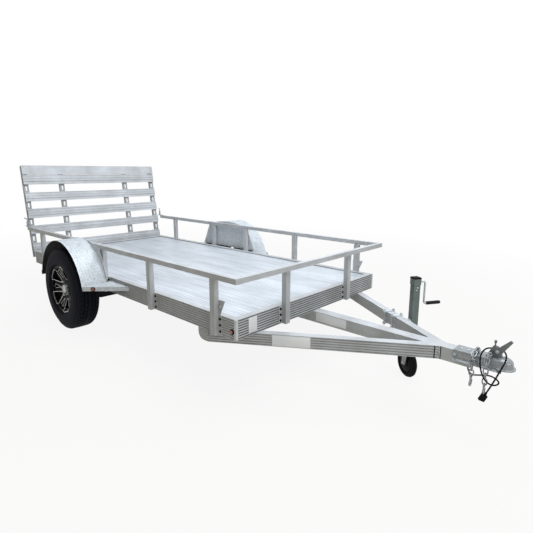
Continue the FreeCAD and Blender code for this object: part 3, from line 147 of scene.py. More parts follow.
@dataclass(frozen=True)
class Stance:
    """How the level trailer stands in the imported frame."""

    nodes: dict[str, Piece]
    pitch: float
    axle: Vector

    @classmethod
    def read(cls, frame: dict) -> Stance:
        """Reads the pitch from the deck mount and the axle from the wheels.


        Returns:
            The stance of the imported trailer.
        """
        deck = next(m for m in frame["record"]["mounts"] if m["name"] == "deck")
        low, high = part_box("rim_left")
        axle = Vector(((low.x + high.x) / 2, 0.0, (low.z + high.z) / 2))
        return cls(frame["nodes"], math.atan2(-deck["axis"][0], deck["axis"][2]), axle)

    @property
    def matrix(self) -> Matrix:
        """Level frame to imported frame."""
        tip = Matrix.Rotation(-self.pitch, 4, "Y")
        return Matrix.Translation(self.axle) @ tip @ Matrix.Translation(-Vector(WHEEL_MIDDLE))

    def box(self, node: str) -> tuple[Vector, Vector]:
        """Finds a CAD node's corners in the level frame.

        Args:
            node: Name of the node.

        Returns:
            Its lowest and highest corner.
        """
        back = self.matrix.inverted()
        places = zip(*(back @ vertex.co for vertex in self.nodes[node].data.vertices))
        low, high = zip(*((min(along), max(along)) for along in places))
        return Vector(low), Vector(high)


class Shop:
    """Mesh work as by hand: primitives, edit-mode shaping and finishing modifiers."""

    SHARP = math.radians(40)
    SAME_PLACE = 0.00002
    UPRIGHT = 0.99

    @staticmethod
    def hold(*pieces: Piece) -> None:
        """Makes pieces the only selected ones and the first of them active."""
        bpy.ops.object.select_all(action="DESELECT")
        for piece in pieces:
            piece.select_set(True)
        bpy.context.view_layer.objects.active = pieces[0]

    @staticmethod
    def primitive(operator: Callable, **sizes: object) -> Piece:
        """Adds a primitive at its size and place.

        Args:
            operator: The primitive's operator.
            sizes: Its sizes and place.

        Returns:
            The primitive, with nothing else selected.
        """
        bpy.ops.object.select_all(action="DESELECT")
        operator(**sizes)
        return bpy.context.active_object

    @classmethod
    @contextmanager
    def editing(cls, piece: Piece) -> Iterator[None]:
        """Opens a piece in edit mode with all of it selected.

        Args:
            piece: Mesh to open.

        Yields:
            Nothing; the piece closes again afterwards.
        """
        cls.hold(piece)
        bpy.ops.object.mode_set(mode="EDIT")
        bpy.ops.mesh.select_all(action="SELECT")
        yield
        bpy.ops.object.mode_set(mode="OBJECT")

    @staticmethod
    def pick_faces(piece: Piece, test: Callable[[bmesh.types.BMFace], bool]) -> None:
        """Selects only the faces that pass a test, in edit mode.

        Args:
            piece: Mesh that is open.
            test: Tells whether a face is picked.
        """
        bpy.ops.mesh.select_mode(type="FACE")
        mesh = bmesh.from_edit_mesh(piece.data)
        for face in mesh.faces:
            face.select_set(test(face))
        mesh.select_flush_mode()
        bmesh.update_edit_mesh(piece.data)

    @classmethod
    def settle(cls, piece: Piece, scale: Point = (1.0, 1.0, 1.0)) -> None:
        """Scales a primitive and puts its place into its mesh.

        Args:
            piece: The primitive.
            scale: Scale along each axis.
        """
        piece.scale = scale
        cls.hold(piece)
        bpy.ops.object.transform_apply(location=True, rotation=True, scale=True)

    @classmethod
    def modify(cls, piece: Piece, kind: str, **settings: object) -> None:
        """Adds a modifier and applies it.

        Args:
            piece: Mesh to change.
            kind: Kind of modifier.
            settings: The modifier's settings.
        """
        modifier = piece.modifiers.new("step", kind)
        for key, setting in settings.items():
            setattr(modifier, key, setting)
        cls.hold(piece)
        bpy.ops.object.modifier_apply(modifier=modifier.name)

    @classmethod
    def round_edges(cls, piece: Piece, width: float, segments: int) -> None:
        """Rounds the sharp edges of a piece."""
        cls.modify(piece, "BEVEL", width=width, segments=segments, limit_method="ANGLE",
                   angle_limit=cls.SHARP)

    @classmethod
    def repeat(cls, piece: Piece, count: int, step: Point) -> None:
        """Repeats a piece in a row, each copy a step from the last."""
        cls.modify(piece, "ARRAY", count=count, use_relative_offset=False,
                   use_constant_offset=True, constant_offset_displace=step)

    @staticmethod
    def move(piece: Piece, by: Matrix) -> Piece:
        """Moves a mesh and keeps its faces outwards.

        Args:
            piece: Mesh to move.
            by: The move, which may mirror.

        Returns:
            The same piece.
        """
        piece.data.transform(by)
        if by.determinant() < 0:
            piece.data.flip_normals()
        return piece

    @classmethod
    def mirrored(cls, piece: Piece) -> Piece:
        """Copies a piece to the other side of the trailer.

        Args:
            piece: Piece of the right side.

        Returns:
            Its twin, with its own mesh.
        """
        twin = piece.copy()
        twin.data = piece.data.copy()
        bpy.context.scene.collection.objects.link(twin)
        return cls.move(twin, Matrix.Scale(-1, 4, (0, 1, 0)))

    @classmethod
    def join(cls, pieces: Sequence[Piece]) -> Piece:
        """Joins pieces.

        Args:
            pieces: At least two pieces.

        Returns:
            The first one, which has taken in the others.
        """
        cls.hold(*pieces)
        bpy.ops.object.join()
        return pieces[0]

    @classmethod
    def aim(cls, start: Point, axis: Point) -> Matrix:
        """Frame at a point with Z along an axis.

        Args:
            start: The point.
            axis: Direction of Z.

        Returns:
            The frame, its Y as near to the trailer's Z as can be.
        """
        forward = Vector(axis).normalized()
        side = Vector((1, 0, 0) if abs(forward.z) > cls.UPRIGHT else (0, 0, 1))
        x = side.cross(forward).normalized()
        turn = Matrix((x, forward.cross(x), forward)).transposed().to_4x4()
        return Matrix.Translation(Vector(start)) @ turn

    @classmethod
    def block(cls, low: Point, high: Point, edge: float) -> Piece:
        """Makes a block between two corners.

        Args:
            low: Lowest corner.
            high: Highest corner.
            edge: Width of the rounded edges.

        Returns:
            The block.
        """
        middle = (Vector(low) + Vector(high)) / 2
        piece = cls.primitive(bpy.ops.mesh.primitive_cube_add, size=1, location=middle)
        cls.settle(piece, Vector(high) - Vector(low))
        cls.round_edges(piece, edge, 2)
        return piece

    @classmethod
    def drum(cls, start: Point, end: Point, radius: float, sides: int, edge: float = 0.0
             ) -> Piece:
        """Makes a round or many-sided pin between two points.

        Args:
            start: Middle of one end.
            end: Middle of the other.
            radius: Radius to the corners.
            sides: Number of sides.
            edge: Width of the chamfered edges.

        Returns:
            The pin.
        """
        axis = Vector(end) - Vector(start)
        piece = cls.primitive(bpy.ops.mesh.primitive_cylinder_add, vertices=sides, radius=radius,
                              depth=axis.length, location=(0, 0, axis.length / 2))
        cls.settle(piece)
        if edge:
            cls.round_edges(piece, edge, 1)
        return cls.move(piece, cls.aim(start, axis))

    @classmethod
    def turned(cls, section: Sequence[Pair], centre: Point, axis: Point, steps: int) -> Piece:
        """Turns a closed section round an axis.

        Args:
            section: Pairs of radius and place along the axis.
            centre: Point on the axis at place 0.
            axis: Direction of the axis.
            steps: Steps in a full turn.

        Returns:
            The turned piece.
        """
        piece = cls.primitive(bpy.ops.mesh.primitive_circle_add, vertices=len(section))
        for vertex, (radius, along) in zip(piece.data.vertices, section):
            vertex.co = (radius, 0.0, along)
        with cls.editing(piece):
            bpy.ops.mesh.spin(steps=steps, angle=math.tau, center=(0, 0, 0), axis=(0, 0, 1))
            bpy.ops.mesh.select_all(action="SELECT")
            bpy.ops.mesh.remove_doubles(threshold=cls.SAME_PLACE)
            bpy.ops.mesh.normals_make_consistent(inside=False)
        return cls.move(piece, cls.aim(centre, axis))


class Value:
    """A number or colour in a material's nodes, which sums as Python values do."""

    def __init__(self, nodes: Nodes, socket: bpy.types.NodeSocket) -> None:
        """Wraps an output socket of the given nodes."""
        self.nodes = nodes
        self.socket = socket

    def _math(self, operation: str, first: Number, second: Number) -> Value:
        """Adds a Math node to two values."""
        return self.nodes.add("ShaderNodeMath", 0, {0: first, 1: second}, operation=operation)

    def __add__(self, other: Number) -> Value:
        """Sum."""
        return self._math("ADD", self, other)

    __radd__ = __add__

    def __sub__(self, other: Number) -> Value:
        """Difference."""
        return self._math("SUBTRACT", self, other)

    def __rsub__(self, other: Number) -> Value:
        """Difference, from the right."""
        return self._math("SUBTRACT", other, self)

    def __mul__(self, other: Number) -> Value:
        """Product."""
        return self._math("MULTIPLY", self, other)

    __rmul__ = __mul__

    def sine(self) -> Value:
        """Sine of a value in radians."""
        return self._math("SINE", self, 0.0)

    def above(self, limit: float) -> Value:
        """1 where the value is above a limit, else 0."""
        return self._math("GREATER_THAN", self, limit)

    def power(self, exponent: float) -> Value:
        """The value raised to a power."""
        return self._math("POWER", self, exponent)

    def at_least(self, other: Number) -> Value:
        """The larger of two values."""
        return self._math("MAXIMUM", self, other)

    def clamped(self) -> Value:
        """The value kept from 0 to 1."""
        return self._math("MINIMUM", self.at_least(0.0), 1.0)


Number = Value | float


class Nodes:
    """The node tree of a material, or of the world."""

    RAYS = ("Is Camera Ray", "Is Glossy Ray", "Is Transmission Ray")

    def __init__(self, owner: bpy.types.ID, shader: str, stance: Stance) -> None:
        """Opens the nodes of a material or world.

        Args:
            owner: The material or world.
            shader: Name of its shader.
            stance: How the trailer stands.
        """
        owner.use_nodes = True
        self.tree = owner.node_tree
        self.shader = self.tree.nodes[shader]
        self.stance = stance

    def add(self, kind: str, output: int | str, inputs: dict, **settings: object) -> Value:
        """Adds a node.

        Args:
            kind: The node's type.
            output: Name or number of the output that is wanted.
            inputs: Values or links by socket name or number.
            settings: The node's own settings, set first.

        Returns:
            The output.
        """
        node = self.tree.nodes.new(kind)
        for key, setting in settings.items():
            setattr(node, key, setting)
        for key, value in inputs.items():
            self.feed(node.inputs[key], value)
        return Value(self, node.outputs[output])

    def feed(self, socket: bpy.types.NodeSocket, value: object) -> None:
        """Links or sets one socket.

        Args:
            socket: The input socket.
            value: A value to link, or a number, vector or colour to set.
        """
        if isinstance(value, Value):
            self.tree.links.new(value.socket, socket)
        else:
            socket.default_value = (*value, 1.0) if socket.type == "RGBA" else value

    def set(self, **values: object) -> None:
        """Sets or links the shader's sockets, named with underscores.

        Args:
            values: A value for each socket.
        """
        for key, value in values.items():
            name = key.replace("_", " ").title().replace("Ior", "IOR")
            self.feed(self.shader.inputs[name], value)

    def place(self, scale: Point, lean: float = 0.0) -> Value:
        """Object coordinates, turned about Y and then scaled for a pattern.

        Args:
            scale: Scale along each axis.
            lean: Angle about Y.

        Returns:
            The coordinates.
        """
        where = self.add("ShaderNodeTexCoord", "Object", {})
        turned = self.add("ShaderNodeMapping", 0, {"Vector": where, "Rotation": (0.0, lean, 0.0)})
        return self.add("ShaderNodeMapping", 0, {"Vector": turned, "Scale": scale})

    def axis(self, name: str, lean: float = 0.0) -> Value:
        """One object coordinate, on axes turned about Y."""
        return self.add("ShaderNodeSeparateXYZ", name, {0: self.place((1.0, 1.0, 1.0), lean)})

    def noise(self, scale: Point, detail: float, rough: float, lean: float = 0.0) -> Value:
        """Noise from 0 to 1 on object coordinates."""
        return self.add("ShaderNodeTexNoise", "Fac", {
            "Vector": self.place(scale, lean), "Scale": 1.0, "Detail": detail, "Roughness": rough})

    def cells(self, scale: float, output: str) -> Value:
        """Cells on object coordinates, each with its own shade or its depth."""
        return self.add("ShaderNodeTexVoronoi", output,
                        {"Vector": self.place((scale,) * 3), "Scale": 1.0})

    def blend(self, share: Value, first: Point | Value, second: Point) -> Value:
        """Mixes two colours by a share, at the colour sockets of the mix."""
        return self.add("ShaderNodeMix", 2, {0: share, 6: first, 7: second}, data_type="RGBA")

    def bump(self, height: Value, distance: float) -> None:
        """Feeds a height into the shader's normal."""
        self.set(normal=self.add("ShaderNodeBump", 0, {"Height": height, "Distance": distance}))

    def shown(self, share: Number) -> Value:
        """One to the eye and in reflections.

        Args:
            share: What every other ray meets.

        Returns:
            The share for any ray.
        """
        for ray in self.RAYS:
            share = self.add("ShaderNodeLightPath", ray, {}).at_least(share)
        return share


@dataclass(frozen=True)
class GrooveShade:
    """Painted shade in the grooves one above the other in a drawn section.

    Attributes:
        start: Lower edge of the section in the level frame.
        step: Height from groove to groove.
        share: Part of a step that the groove takes.
        dark: How much of the painted shade it shows.
        lean: Angle in degrees that the section leans back.
    """

    start: Triple
    step: float
    share: float
    dark: float
    lean: float = 0.0

    def mask(self, nodes: Nodes) -> Value:
        """Marks the grooves, on the section turned upright again.

        Args:
            nodes: Nodes of the material.

        Returns:
            The share of painted shade inside the grooves and zero beside them.
        """
        lean = nodes.stance.pitch + math.radians(self.lean)
        foot = (Matrix.Rotation(lean, 3, "Y") @ (nodes.stance.matrix @ Vector(self.start))).z
        turns = (nodes.axis("Z", lean) - foot) * (math.tau / self.step) - math.pi / 2
        return turns.sine().above(math.cos(math.pi * self.share)) * self.dark


@dataclass(frozen=True)
class ArchShade:
    """Painted shade on the wheel side of the sheets that close round the wheels."""

    radius: float = 0.3985
    inner: float = 0.8075
    # Colour of the painted shade inside the arch
    colour: Triple = (0.018, 0.018, 0.020)
    cover: float = 0.95

    def mask(self, nodes: Nodes) -> Value:
        """Marks the wheel side of arch and backing.

        Args:
            nodes: Nodes of the material.

        Returns:
            The share of painted shade there and zero outside.
        """
        middle = nodes.stance.matrix @ Vector(ARCH_MIDDLE)
        along, up, out = nodes.axis("X") - middle.x, nodes.axis("Z") - middle.z, nodes.axis("Y")
        outside = (along * along + up * up).above(self.radius ** 2)
        return (1.0 - outside) * (out * out).above(self.inner ** 2) * self.cover


@dataclass(frozen=True)
class DrawnMetal:
    """Mill-finish or plated metal with fine lines along its run and faint smudges; on the tread
    plate they are fine specks of painted shade and highlight.
    """

    light: Triple
    dark: Triple
    rough: float
    metallic: float
    grain: float = 0.00012
    smudge: float = 5.0
    specular: float = 0.2
    # How dark the painted shade in the grooves is, as a share of the dark colour
    deepest: float = 0.22
    cloud_middle: float = 0.32
    cloud_colour: float = 1.6
    cloud_rough: float = 0.16
    line_colour: float = 0.55
    line_rough: float = 0.1
    run: Run = Run.EVEN
    # Painted shade in the grooves of a drawn section
    grooves: GrooveShade | None = None
    # Painted shade on the wheel side of the arch and backing
    film: ArchShade | None = None

    def dress(self, nodes: Nodes) -> None:
        """Lays clouds and lines, then the painted shade of grooves and of the arches where the
        piece has them.

        Args:
            nodes: Nodes of the material.
        """
        lines = nodes.noise(self.run.value, detail=2.0, rough=0.6, lean=nodes.stance.pitch)
        cloud = nodes.noise((self.smudge,) * 3, detail=5.0, rough=0.62)
        share = (cloud - self.cloud_middle) * self.cloud_colour + (lines - HALF) * self.line_colour
        rough = (cloud - HALF) * self.cloud_rough + (lines - HALF) * self.line_rough
        colour = nodes.blend(share, self.dark, self.light)
        # Painted shade: the grooves are darkened to stand in for the shade inside them
        if self.grooves:
            deep = [value * self.deepest for value in self.dark]
            colour = nodes.blend(self.grooves.mask(nodes), colour, deep)
        # Painted shade: the wheel side of the arch and backing is darkened to stand in for the
        # shade there
        if self.film:
            colour = nodes.blend(self.film.mask(nodes), colour, self.film.colour)
        nodes.set(base_color=colour, metallic=self.metallic, specular_ior_level=self.specular,
                  roughness=self.rough + rough)
        nodes.bump(lines, self.grain)


@dataclass(frozen=True)
class SpangledZinc:
    """Galvanised or zinc-plated steel with crystal patches."""

    light: Triple
    dark: Triple
    rough: float
    metallic: float
    patch: float = 140.0
    stain: float = 11.0
    specular: float = 0.3
    grain: float = 0.00012
    patch_colour: float = 0.5
    stain_middle: float = 0.28
    stain_colour: float = 1.1
    stain_rough: float = 0.2

    def dress(self, nodes: Nodes) -> None:
        """Lays crystal patches and stains.

        Args:
            nodes: Nodes of the material.
        """
        stain = nodes.noise((self.stain,) * 3, detail=6.0, rough=0.66)
        patches = nodes.cells(self.patch, "Color") * self.patch_colour
        share = patches + (stain - self.stain_middle) * self.stain_colour
        nodes.set(base_color=nodes.blend(share, self.dark, self.light), metallic=self.metallic,
                  roughness=self.rough + (stain - HALF) * self.stain_rough,
                  specular_ior_level=self.specular)
        nodes.bump(stain, self.grain)


@dataclass(frozen=True)
class PlankMetal:
    """Ribbed deck planks: fine lines along the trailer, with a stripe of painted shade once a rib.
    """

    light: Triple
    dark: Triple
    rib_pitch: float = 0.0254
    rib_height: float = 0.0009
    rough: float = 0.42
    metallic: float = 0.12
    specular: float = 0.2
    scratches: Triple = (1.4, 90.0, 90.0)
    clouds: Triple = (2.2, 5.0, 5.0)
    middle: float = 0.47
    cloud_colour: float = 1.5
    cloud_rough: float = 0.25
    line_colour: float = 1.9
    line_height: float = 0.15
    edge_colour: float = 0.6
    edge_power: float = 6.0
    rib_power: float = 3.0

    def dress(self, nodes: Nodes) -> None:
        """Lays ribs, lines and the painted shade of the ribs.

        Args:
            nodes: Nodes of the material.
        """
        ribs = (nodes.axis("Y") * (math.tau / self.rib_pitch)).sine() * HALF + HALF
        lines = nodes.noise(self.scratches, detail=3.0, rough=0.6, lean=nodes.stance.pitch)
        cloud = nodes.noise(self.clouds, detail=5.0, rough=0.6)
        share = self.middle + (cloud - HALF) * self.cloud_colour + (lines - HALF) * self.line_colour
        # Painted shade: a narrow dark stripe once a rib, standing in for the shade of the ribs
        share -= ribs.power(self.edge_power) * self.edge_colour
        nodes.set(base_color=nodes.blend(share, self.dark, self.light), metallic=self.metallic,
                  roughness=self.rough + (cloud - HALF) * self.cloud_rough,
                  specular_ior_level=self.specular)
        nodes.bump(ribs.power(self.rib_power) + lines * self.line_height, self.rib_height)


@dataclass(frozen=True)
class Plastic:
    """Moulded plastic or rubber with a fine grain and a little dust."""

    colour: Triple
    dust: Triple
    rough: float
    grain: float
    specular: float
    grain_scale: float = 900.0
    dust_scale: float = 9.0
    dust_middle: float = 0.42
    dust_colour: float = 0.7
    dust_rough: float = 0.18

    def dress(self, nodes: Nodes) -> None:
        """Lays dust and grain.

        Args:
            nodes: Nodes of the material.
        """
        cloud = nodes.noise((self.dust_scale,) * 3, detail=6.0, rough=0.65)
        share = (cloud - self.dust_middle) * self.dust_colour
        nodes.set(base_color=nodes.blend(share, self.colour, self.dust),
                  roughness=self.rough + (cloud - HALF) * self.dust_rough,
                  specular_ior_level=self.specular)
        nodes.bump(nodes.noise((self.grain_scale,) * 3, detail=2.0, rough=0.5), self.grain)


@dataclass(frozen=True)
class Lens:
    """Coloured lamp lens with small prisms under a glossy face."""

    colour: Triple
    deep: Triple
    prism: float = 320.0
    prism_depth: float = 0.0006
    deepening: float = 1.2
    rough: float = 0.18
    coat: float = 0.8
    coat_rough: float = 0.04

    def dress(self, nodes: Nodes) -> None:
        """Lays prisms under the face.

        Args:
            nodes: Nodes of the material.
        """
        depth = nodes.cells(self.prism, "Distance")
        nodes.set(base_color=nodes.blend(depth * self.deepening, self.colour, self.deep),
                  roughness=self.rough, coat_weight=self.coat, coat_roughness=self.coat_rough)
        nodes.bump(depth, self.prism_depth)


@dataclass(frozen=True)
class Look:
    """Slot of a piece, with the run and tone of its metal and the painted shade of its grooves."""

    slot: Slot
    run: Run = Run.EVEN
    tone: Tone = Tone.PLAIN
    # Painted shade in the grooves of the metal
    grooves: GrooveShade | None = None


class FinishRack:
    """Every finish of the trailer, made once and shared."""

    LIGHTEST = 0.95
    DRAWN_ZINC = DrawnMetal((0.26, 0.31, 0.29), (0.15, 0.185, 0.175), 0.36, 0.2)
    RECIPES = {
        Slot.EXTRUDED: DrawnMetal((0.70, 0.72, 0.75), (0.45, 0.455, 0.46), 0.42, 0.10),
        Slot.DECK: PlankMetal((0.80, 0.835, 0.89), (0.44, 0.47, 0.50)),
        Slot.TRIM: DrawnMetal((0.76, 0.78, 0.80), (0.60, 0.61, 0.63), 0.33, 0.2, 0.00006),
        # The tread plate's fine clouds, ninety a metre, are specks of painted shade and highlight
        # for its raised lozenges, over its own mottling
        Slot.TREAD_PLATE: DrawnMetal((0.68, 0.71, 0.73), (0.36, 0.38, 0.40), 0.5, 0.1, 0.0003, 90.0,
                                     # Painted shade on the wheel side of the arch and backing
                                     film=ArchShade()),
        Slot.GALVANISED: SpangledZinc((0.60, 0.64, 0.66), (0.27, 0.30, 0.31), 0.42, 0.35),
        Slot.ZINC: SpangledZinc((0.60, 0.635, 0.66), (0.33, 0.355, 0.365), 0.32, 0.3, 60.0),
        Slot.BLACK_STEEL: Plastic((0.008, 0.008, 0.010), (0.022, 0.022, 0.023), 0.5, 0.0002, 0.1),
        Slot.GRIP: Plastic((0.008, 0.008, 0.009), (0.02, 0.02, 0.02), 0.5, 0.0001, 0.12),
        Slot.RUBBER: Plastic((0.006, 0.006, 0.007), (0.014, 0.013, 0.012), 0.6, 0.0001, 0.06),
        Slot.TYRE: Plastic((0.005, 0.0055, 0.009), (0.020, 0.021, 0.028), 0.75, 0.0002, 0.10),
        Slot.WHEEL: Plastic((0.004, 0.004, 0.005), (0.008, 0.008, 0.008), 0.35, 0.00003, 0.05),
        Slot.CABLE: Plastic((0.005, 0.005, 0.006), (0.012, 0.012, 0.012), 0.5, 0.00008, 0.06),
        Slot.AMBER: Lens((0.62, 0.11, 0.012), (0.28, 0.03, 0.006)),
        Slot.RED: Lens((0.42, 0.012, 0.01), (0.16, 0.004, 0.004)),
    }

    def __init__(self, stance: Stance) -> None:
        """Opens the rack for a trailer as it stands."""
        self.stance = stance
        self.made: dict[Look, bpy.types.Material] = {}

    def recipe(self, look: Look) -> object:
        """Chooses the finish for a look; zinc that was drawn has no patches.

        Args:
            look: Look of the piece.

        Returns:
            The finish.
        """
        drawn_zinc = look.slot is Slot.ZINC and look.run is not Run.EVEN
        finish = self.DRAWN_ZINC if drawn_zinc else self.RECIPES[look.slot]
        if isinstance(finish, DrawnMetal):
            finish = replace(finish, run=look.run, grooves=look.grooves)
        if look.tone is not Tone.PLAIN:
            light, dark = ([min(self.LIGHTEST, value * look.tone.value) for value in colour]
                           for colour in (finish.light, finish.dark))
            finish = replace(finish, light=light, dark=dark)
        return finish

    def get(self, look: Look) -> bpy.types.Material:
        """Gives the material of a look.

        Args:
            look: Look of the piece.

        Returns:
            The material, made once for each look.
        """
        if look not in self.made:
            name = f"{look.slot.value}_{look.run.name.lower()}_{look.tone.name.lower()}"
            self.made[look] = bpy.data.materials.new(name)
            nodes = Nodes(self.made[look], "Principled BSDF", self.stance)
            self.recipe(look).dress(nodes)
        return self.made[look]


@dataclass
class Assembly:
    """Shared ways of every sub-assembly."""

    stance: Stance
    finishes: FinishRack

    def dress(self, piece: Piece, look: Look) -> None:
        """Gives a piece its finish.

        Args:
            piece: Piece of the scene or CAD node.
            look: Its look.
        """
        piece.data.materials.clear()
        piece.data.materials.append(self.finishes.get(look))

    def fit(self, piece: Piece, name: str, slot: Slot, body: Body = Body.ROOT,
            tone: Tone = Tone.PLAIN, replaces: Sequence[str] = (), smooth: float = 35.0) -> None:
        """Names, shades, dresses and seats a finished piece, drawn in the level frame.

        Args:
            piece: The finished mesh.
            name: Name of the piece.
            slot: Material slot.
            body: Body that it moves with.
            tone: How light it is beside the rest of its slot.
            replaces: CAD nodes that it stands for.
            smooth: Angle in degrees below which edges are shaded smooth.
        """
        piece.name = name
        piece.data.name = name
        Shop.hold(piece)
        bpy.ops.object.shade_smooth_by_angle(angle=math.radians(smooth))
        piece.data.transform(self.stance.matrix)
        self.dress(piece, Look(slot, tone=tone))
        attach(piece, body.value)
        if replaces:
            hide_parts(*replaces)
        LOG.info("%s: %d faces on %s", name, len(piece.data.polygons), body.value)

    def fit_pair(self, piece: Piece, name: str, slot: Slot, tone: Tone = Tone.PLAIN) -> None:
        """Fits a piece of the right side and its mirrored twin on the left."""
        self.fit(Shop.mirrored(piece), f"{name}_left", slot, tone=tone)
        self.fit(piece, f"{name}_right", slot, tone=tone)


def both(*names: str) -> tuple[str, ...]:
    """Names of the left and the right CAD node of each kind."""
    return tuple(f"{name}_{side}" for name in names for side in ("left", "right"))


class CadFinishes(Assembly):
    """Finishes of the CAD nodes that show as they are."""

    # Painted shade in the grooves of the rails and tongue members and in the steps of the gate
    # slats
    RAIL = GrooveShade((0.0, 0.0, 0.389), 0.121 / 8, 0.40, 1.0)
    SIDE_RAIL = replace(RAIL, dark=0.4)
    MEMBER = GrooveShade((0.0, 0.0, 0.313), 0.076 / 5, 0.36, 0.42)
    SLAT = GrooveShade((-3.0942, 0.0, 0.4973), 0.0296, 0.22, 0.36, GATE_LEAN)
    GROOVED = {
        "front_rail": RAIL, "rear_rail": RAIL, "side_rail_left": SIDE_RAIL,
        "side_rail_right": SIDE_RAIL, "tongue_side_left": MEMBER, "tongue_side_right": MEMBER,
        "gate_slats": SLAT,
    }
    PLAN = {
        Look(Slot.EXTRUDED, Run.ALONG): (*both("side_rail", "tongue_side", "top_rail"),
                                         "tongue_centre"),
        Look(Slot.EXTRUDED, Run.ACROSS): ("front_rail", "rear_rail", "cross_members",
                                          "top_rail_front", "gate_slats", "gate_top_plate"),
        Look(Slot.EXTRUDED, Run.UPRIGHT): (*both("posts"), "posts_front", "post_gussets"),
        # The gate's uprights are darker than the other extrusions: painted shade between the slats
        Look(Slot.EXTRUDED, Run.UPRIGHT, Tone.DULL): ("gate_supports",),
        Look(Slot.TRIM, Run.UPRIGHT): ("corner_trims",),
        Look(Slot.DECK, Run.ALONG): ("deck_planks",),
        Look(Slot.TREAD_PLATE, tone=Tone.BRIGHT): (*both("fender_arch", "fender_backing"),
                                                   "fender_steps"),
        Look(Slot.BLACK_STEEL): (*both("torsion_arm"), "axle_tube", "axle_brackets"),
        Look(Slot.GALVANISED): both("hub"),
        Look(Slot.ZINC, tone=Tone.BRIGHT): ("jack_mount", "jack_crank"),
        Look(Slot.ZINC, tone=Tone.DULL): ("coupler_body", "caster_fork", "gate_hinges",
                                          "gate_latches", "safety_chain_front",
                                          "safety_chain_rear"),
        Look(Slot.ZINC, tone=Tone.DARK): ("coupler_latch",),
        Look(Slot.ZINC, Run.UPRIGHT): ("jack_tube", "jack_leg"),
        Look(Slot.GRIP): ("jack_grip",),
        Look(Slot.RUBBER): ("caster_wheel",),
        Look(Slot.WHEEL): both("rim"),
        Look(Slot.TYRE): both("tyre"),
        Look(Slot.AMBER): ("marker_lamps",),
        Look(Slot.RED): ("tail_lamps",),
        Look(Slot.CABLE): ("wiring_lead", "wiring_plug"),
    }

    def build(self) -> None:
        """Dresses every CAD node of the plan."""
        for look, names in self.PLAN.items():
            for name in names:
                look_with_groove_shade = replace(look, grooves=self.GROOVED.get(name))
                self.dress(self.stance.nodes[name], look_with_groove_shade)


class Hardware:
    """Bolts, rivets and weld beads shared by every sub-assembly."""

    # Start, end, radius, sides and edge of the washer, the head and the bolt's end, in sizes
    BOLT = ((-0.1, 0.28, 1.35, 20, 0.1), (0.0, 0.95, 1.0, 6, 0.12), (0.0, 1.3, 0.5, 12, 0.1))
    DOME = ((0.0, -0.1), (1.0, -0.1), (1.0, 0.1), (0.86, 0.38), (0.55, 0.58), (0.0, 0.66))
    DOME_STEPS = 16
    PUDDLE = (0.95, 0.95, 0.6)
    PUDDLE_STEP = 0.75

    @classmethod
    def hex_bolt(cls, place: Point, axis: Point, size: float) -> Piece:
        """Makes a hexagon head with its washer and the bolt's end, standing on a face.

        Args:
            place: Point on the face.
            axis: Direction out of the face.
            size: Radius of the hexagon.

        Returns:
            The bolt head.
        """
        start, out = Vector(place), Vector(axis) * size
        return Shop.join([Shop.drum(start + out * low, start + out * high, radius * size, sides,
                                    edge * size) for low, high, radius, sides, edge in cls.BOLT])

    @classmethod
    def round_head(cls, place: Point, axis: Point, size: float) -> Piece:
        """Makes a domed head standing on a face."""
        section = [(radius * size, along * size) for radius, along in cls.DOME]
        return Shop.turned(section, place, axis, cls.DOME_STEPS)

    @classmethod
    def weld(cls, start: Point, end: Point, radius: float) -> Piece:
        """Lays a bead of overlapping puddles between two points.

        Args:
            start: First end of the seam.
            end: Last end.
            radius: Half width of the bead.

        Returns:
            The bead.
        """
        run = Vector(end) - Vector(start)
        count = int(run.length / (radius * cls.PUDDLE_STEP))
        piece = Shop.primitive(bpy.ops.mesh.primitive_ico_sphere_add, subdivisions=2, radius=radius)
        Shop.settle(piece, cls.PUDDLE)
        Shop.repeat(piece, count, (0.0, 0.0, run.length / (count - 1)))
        return Shop.move(piece, Shop.aim(start, run))


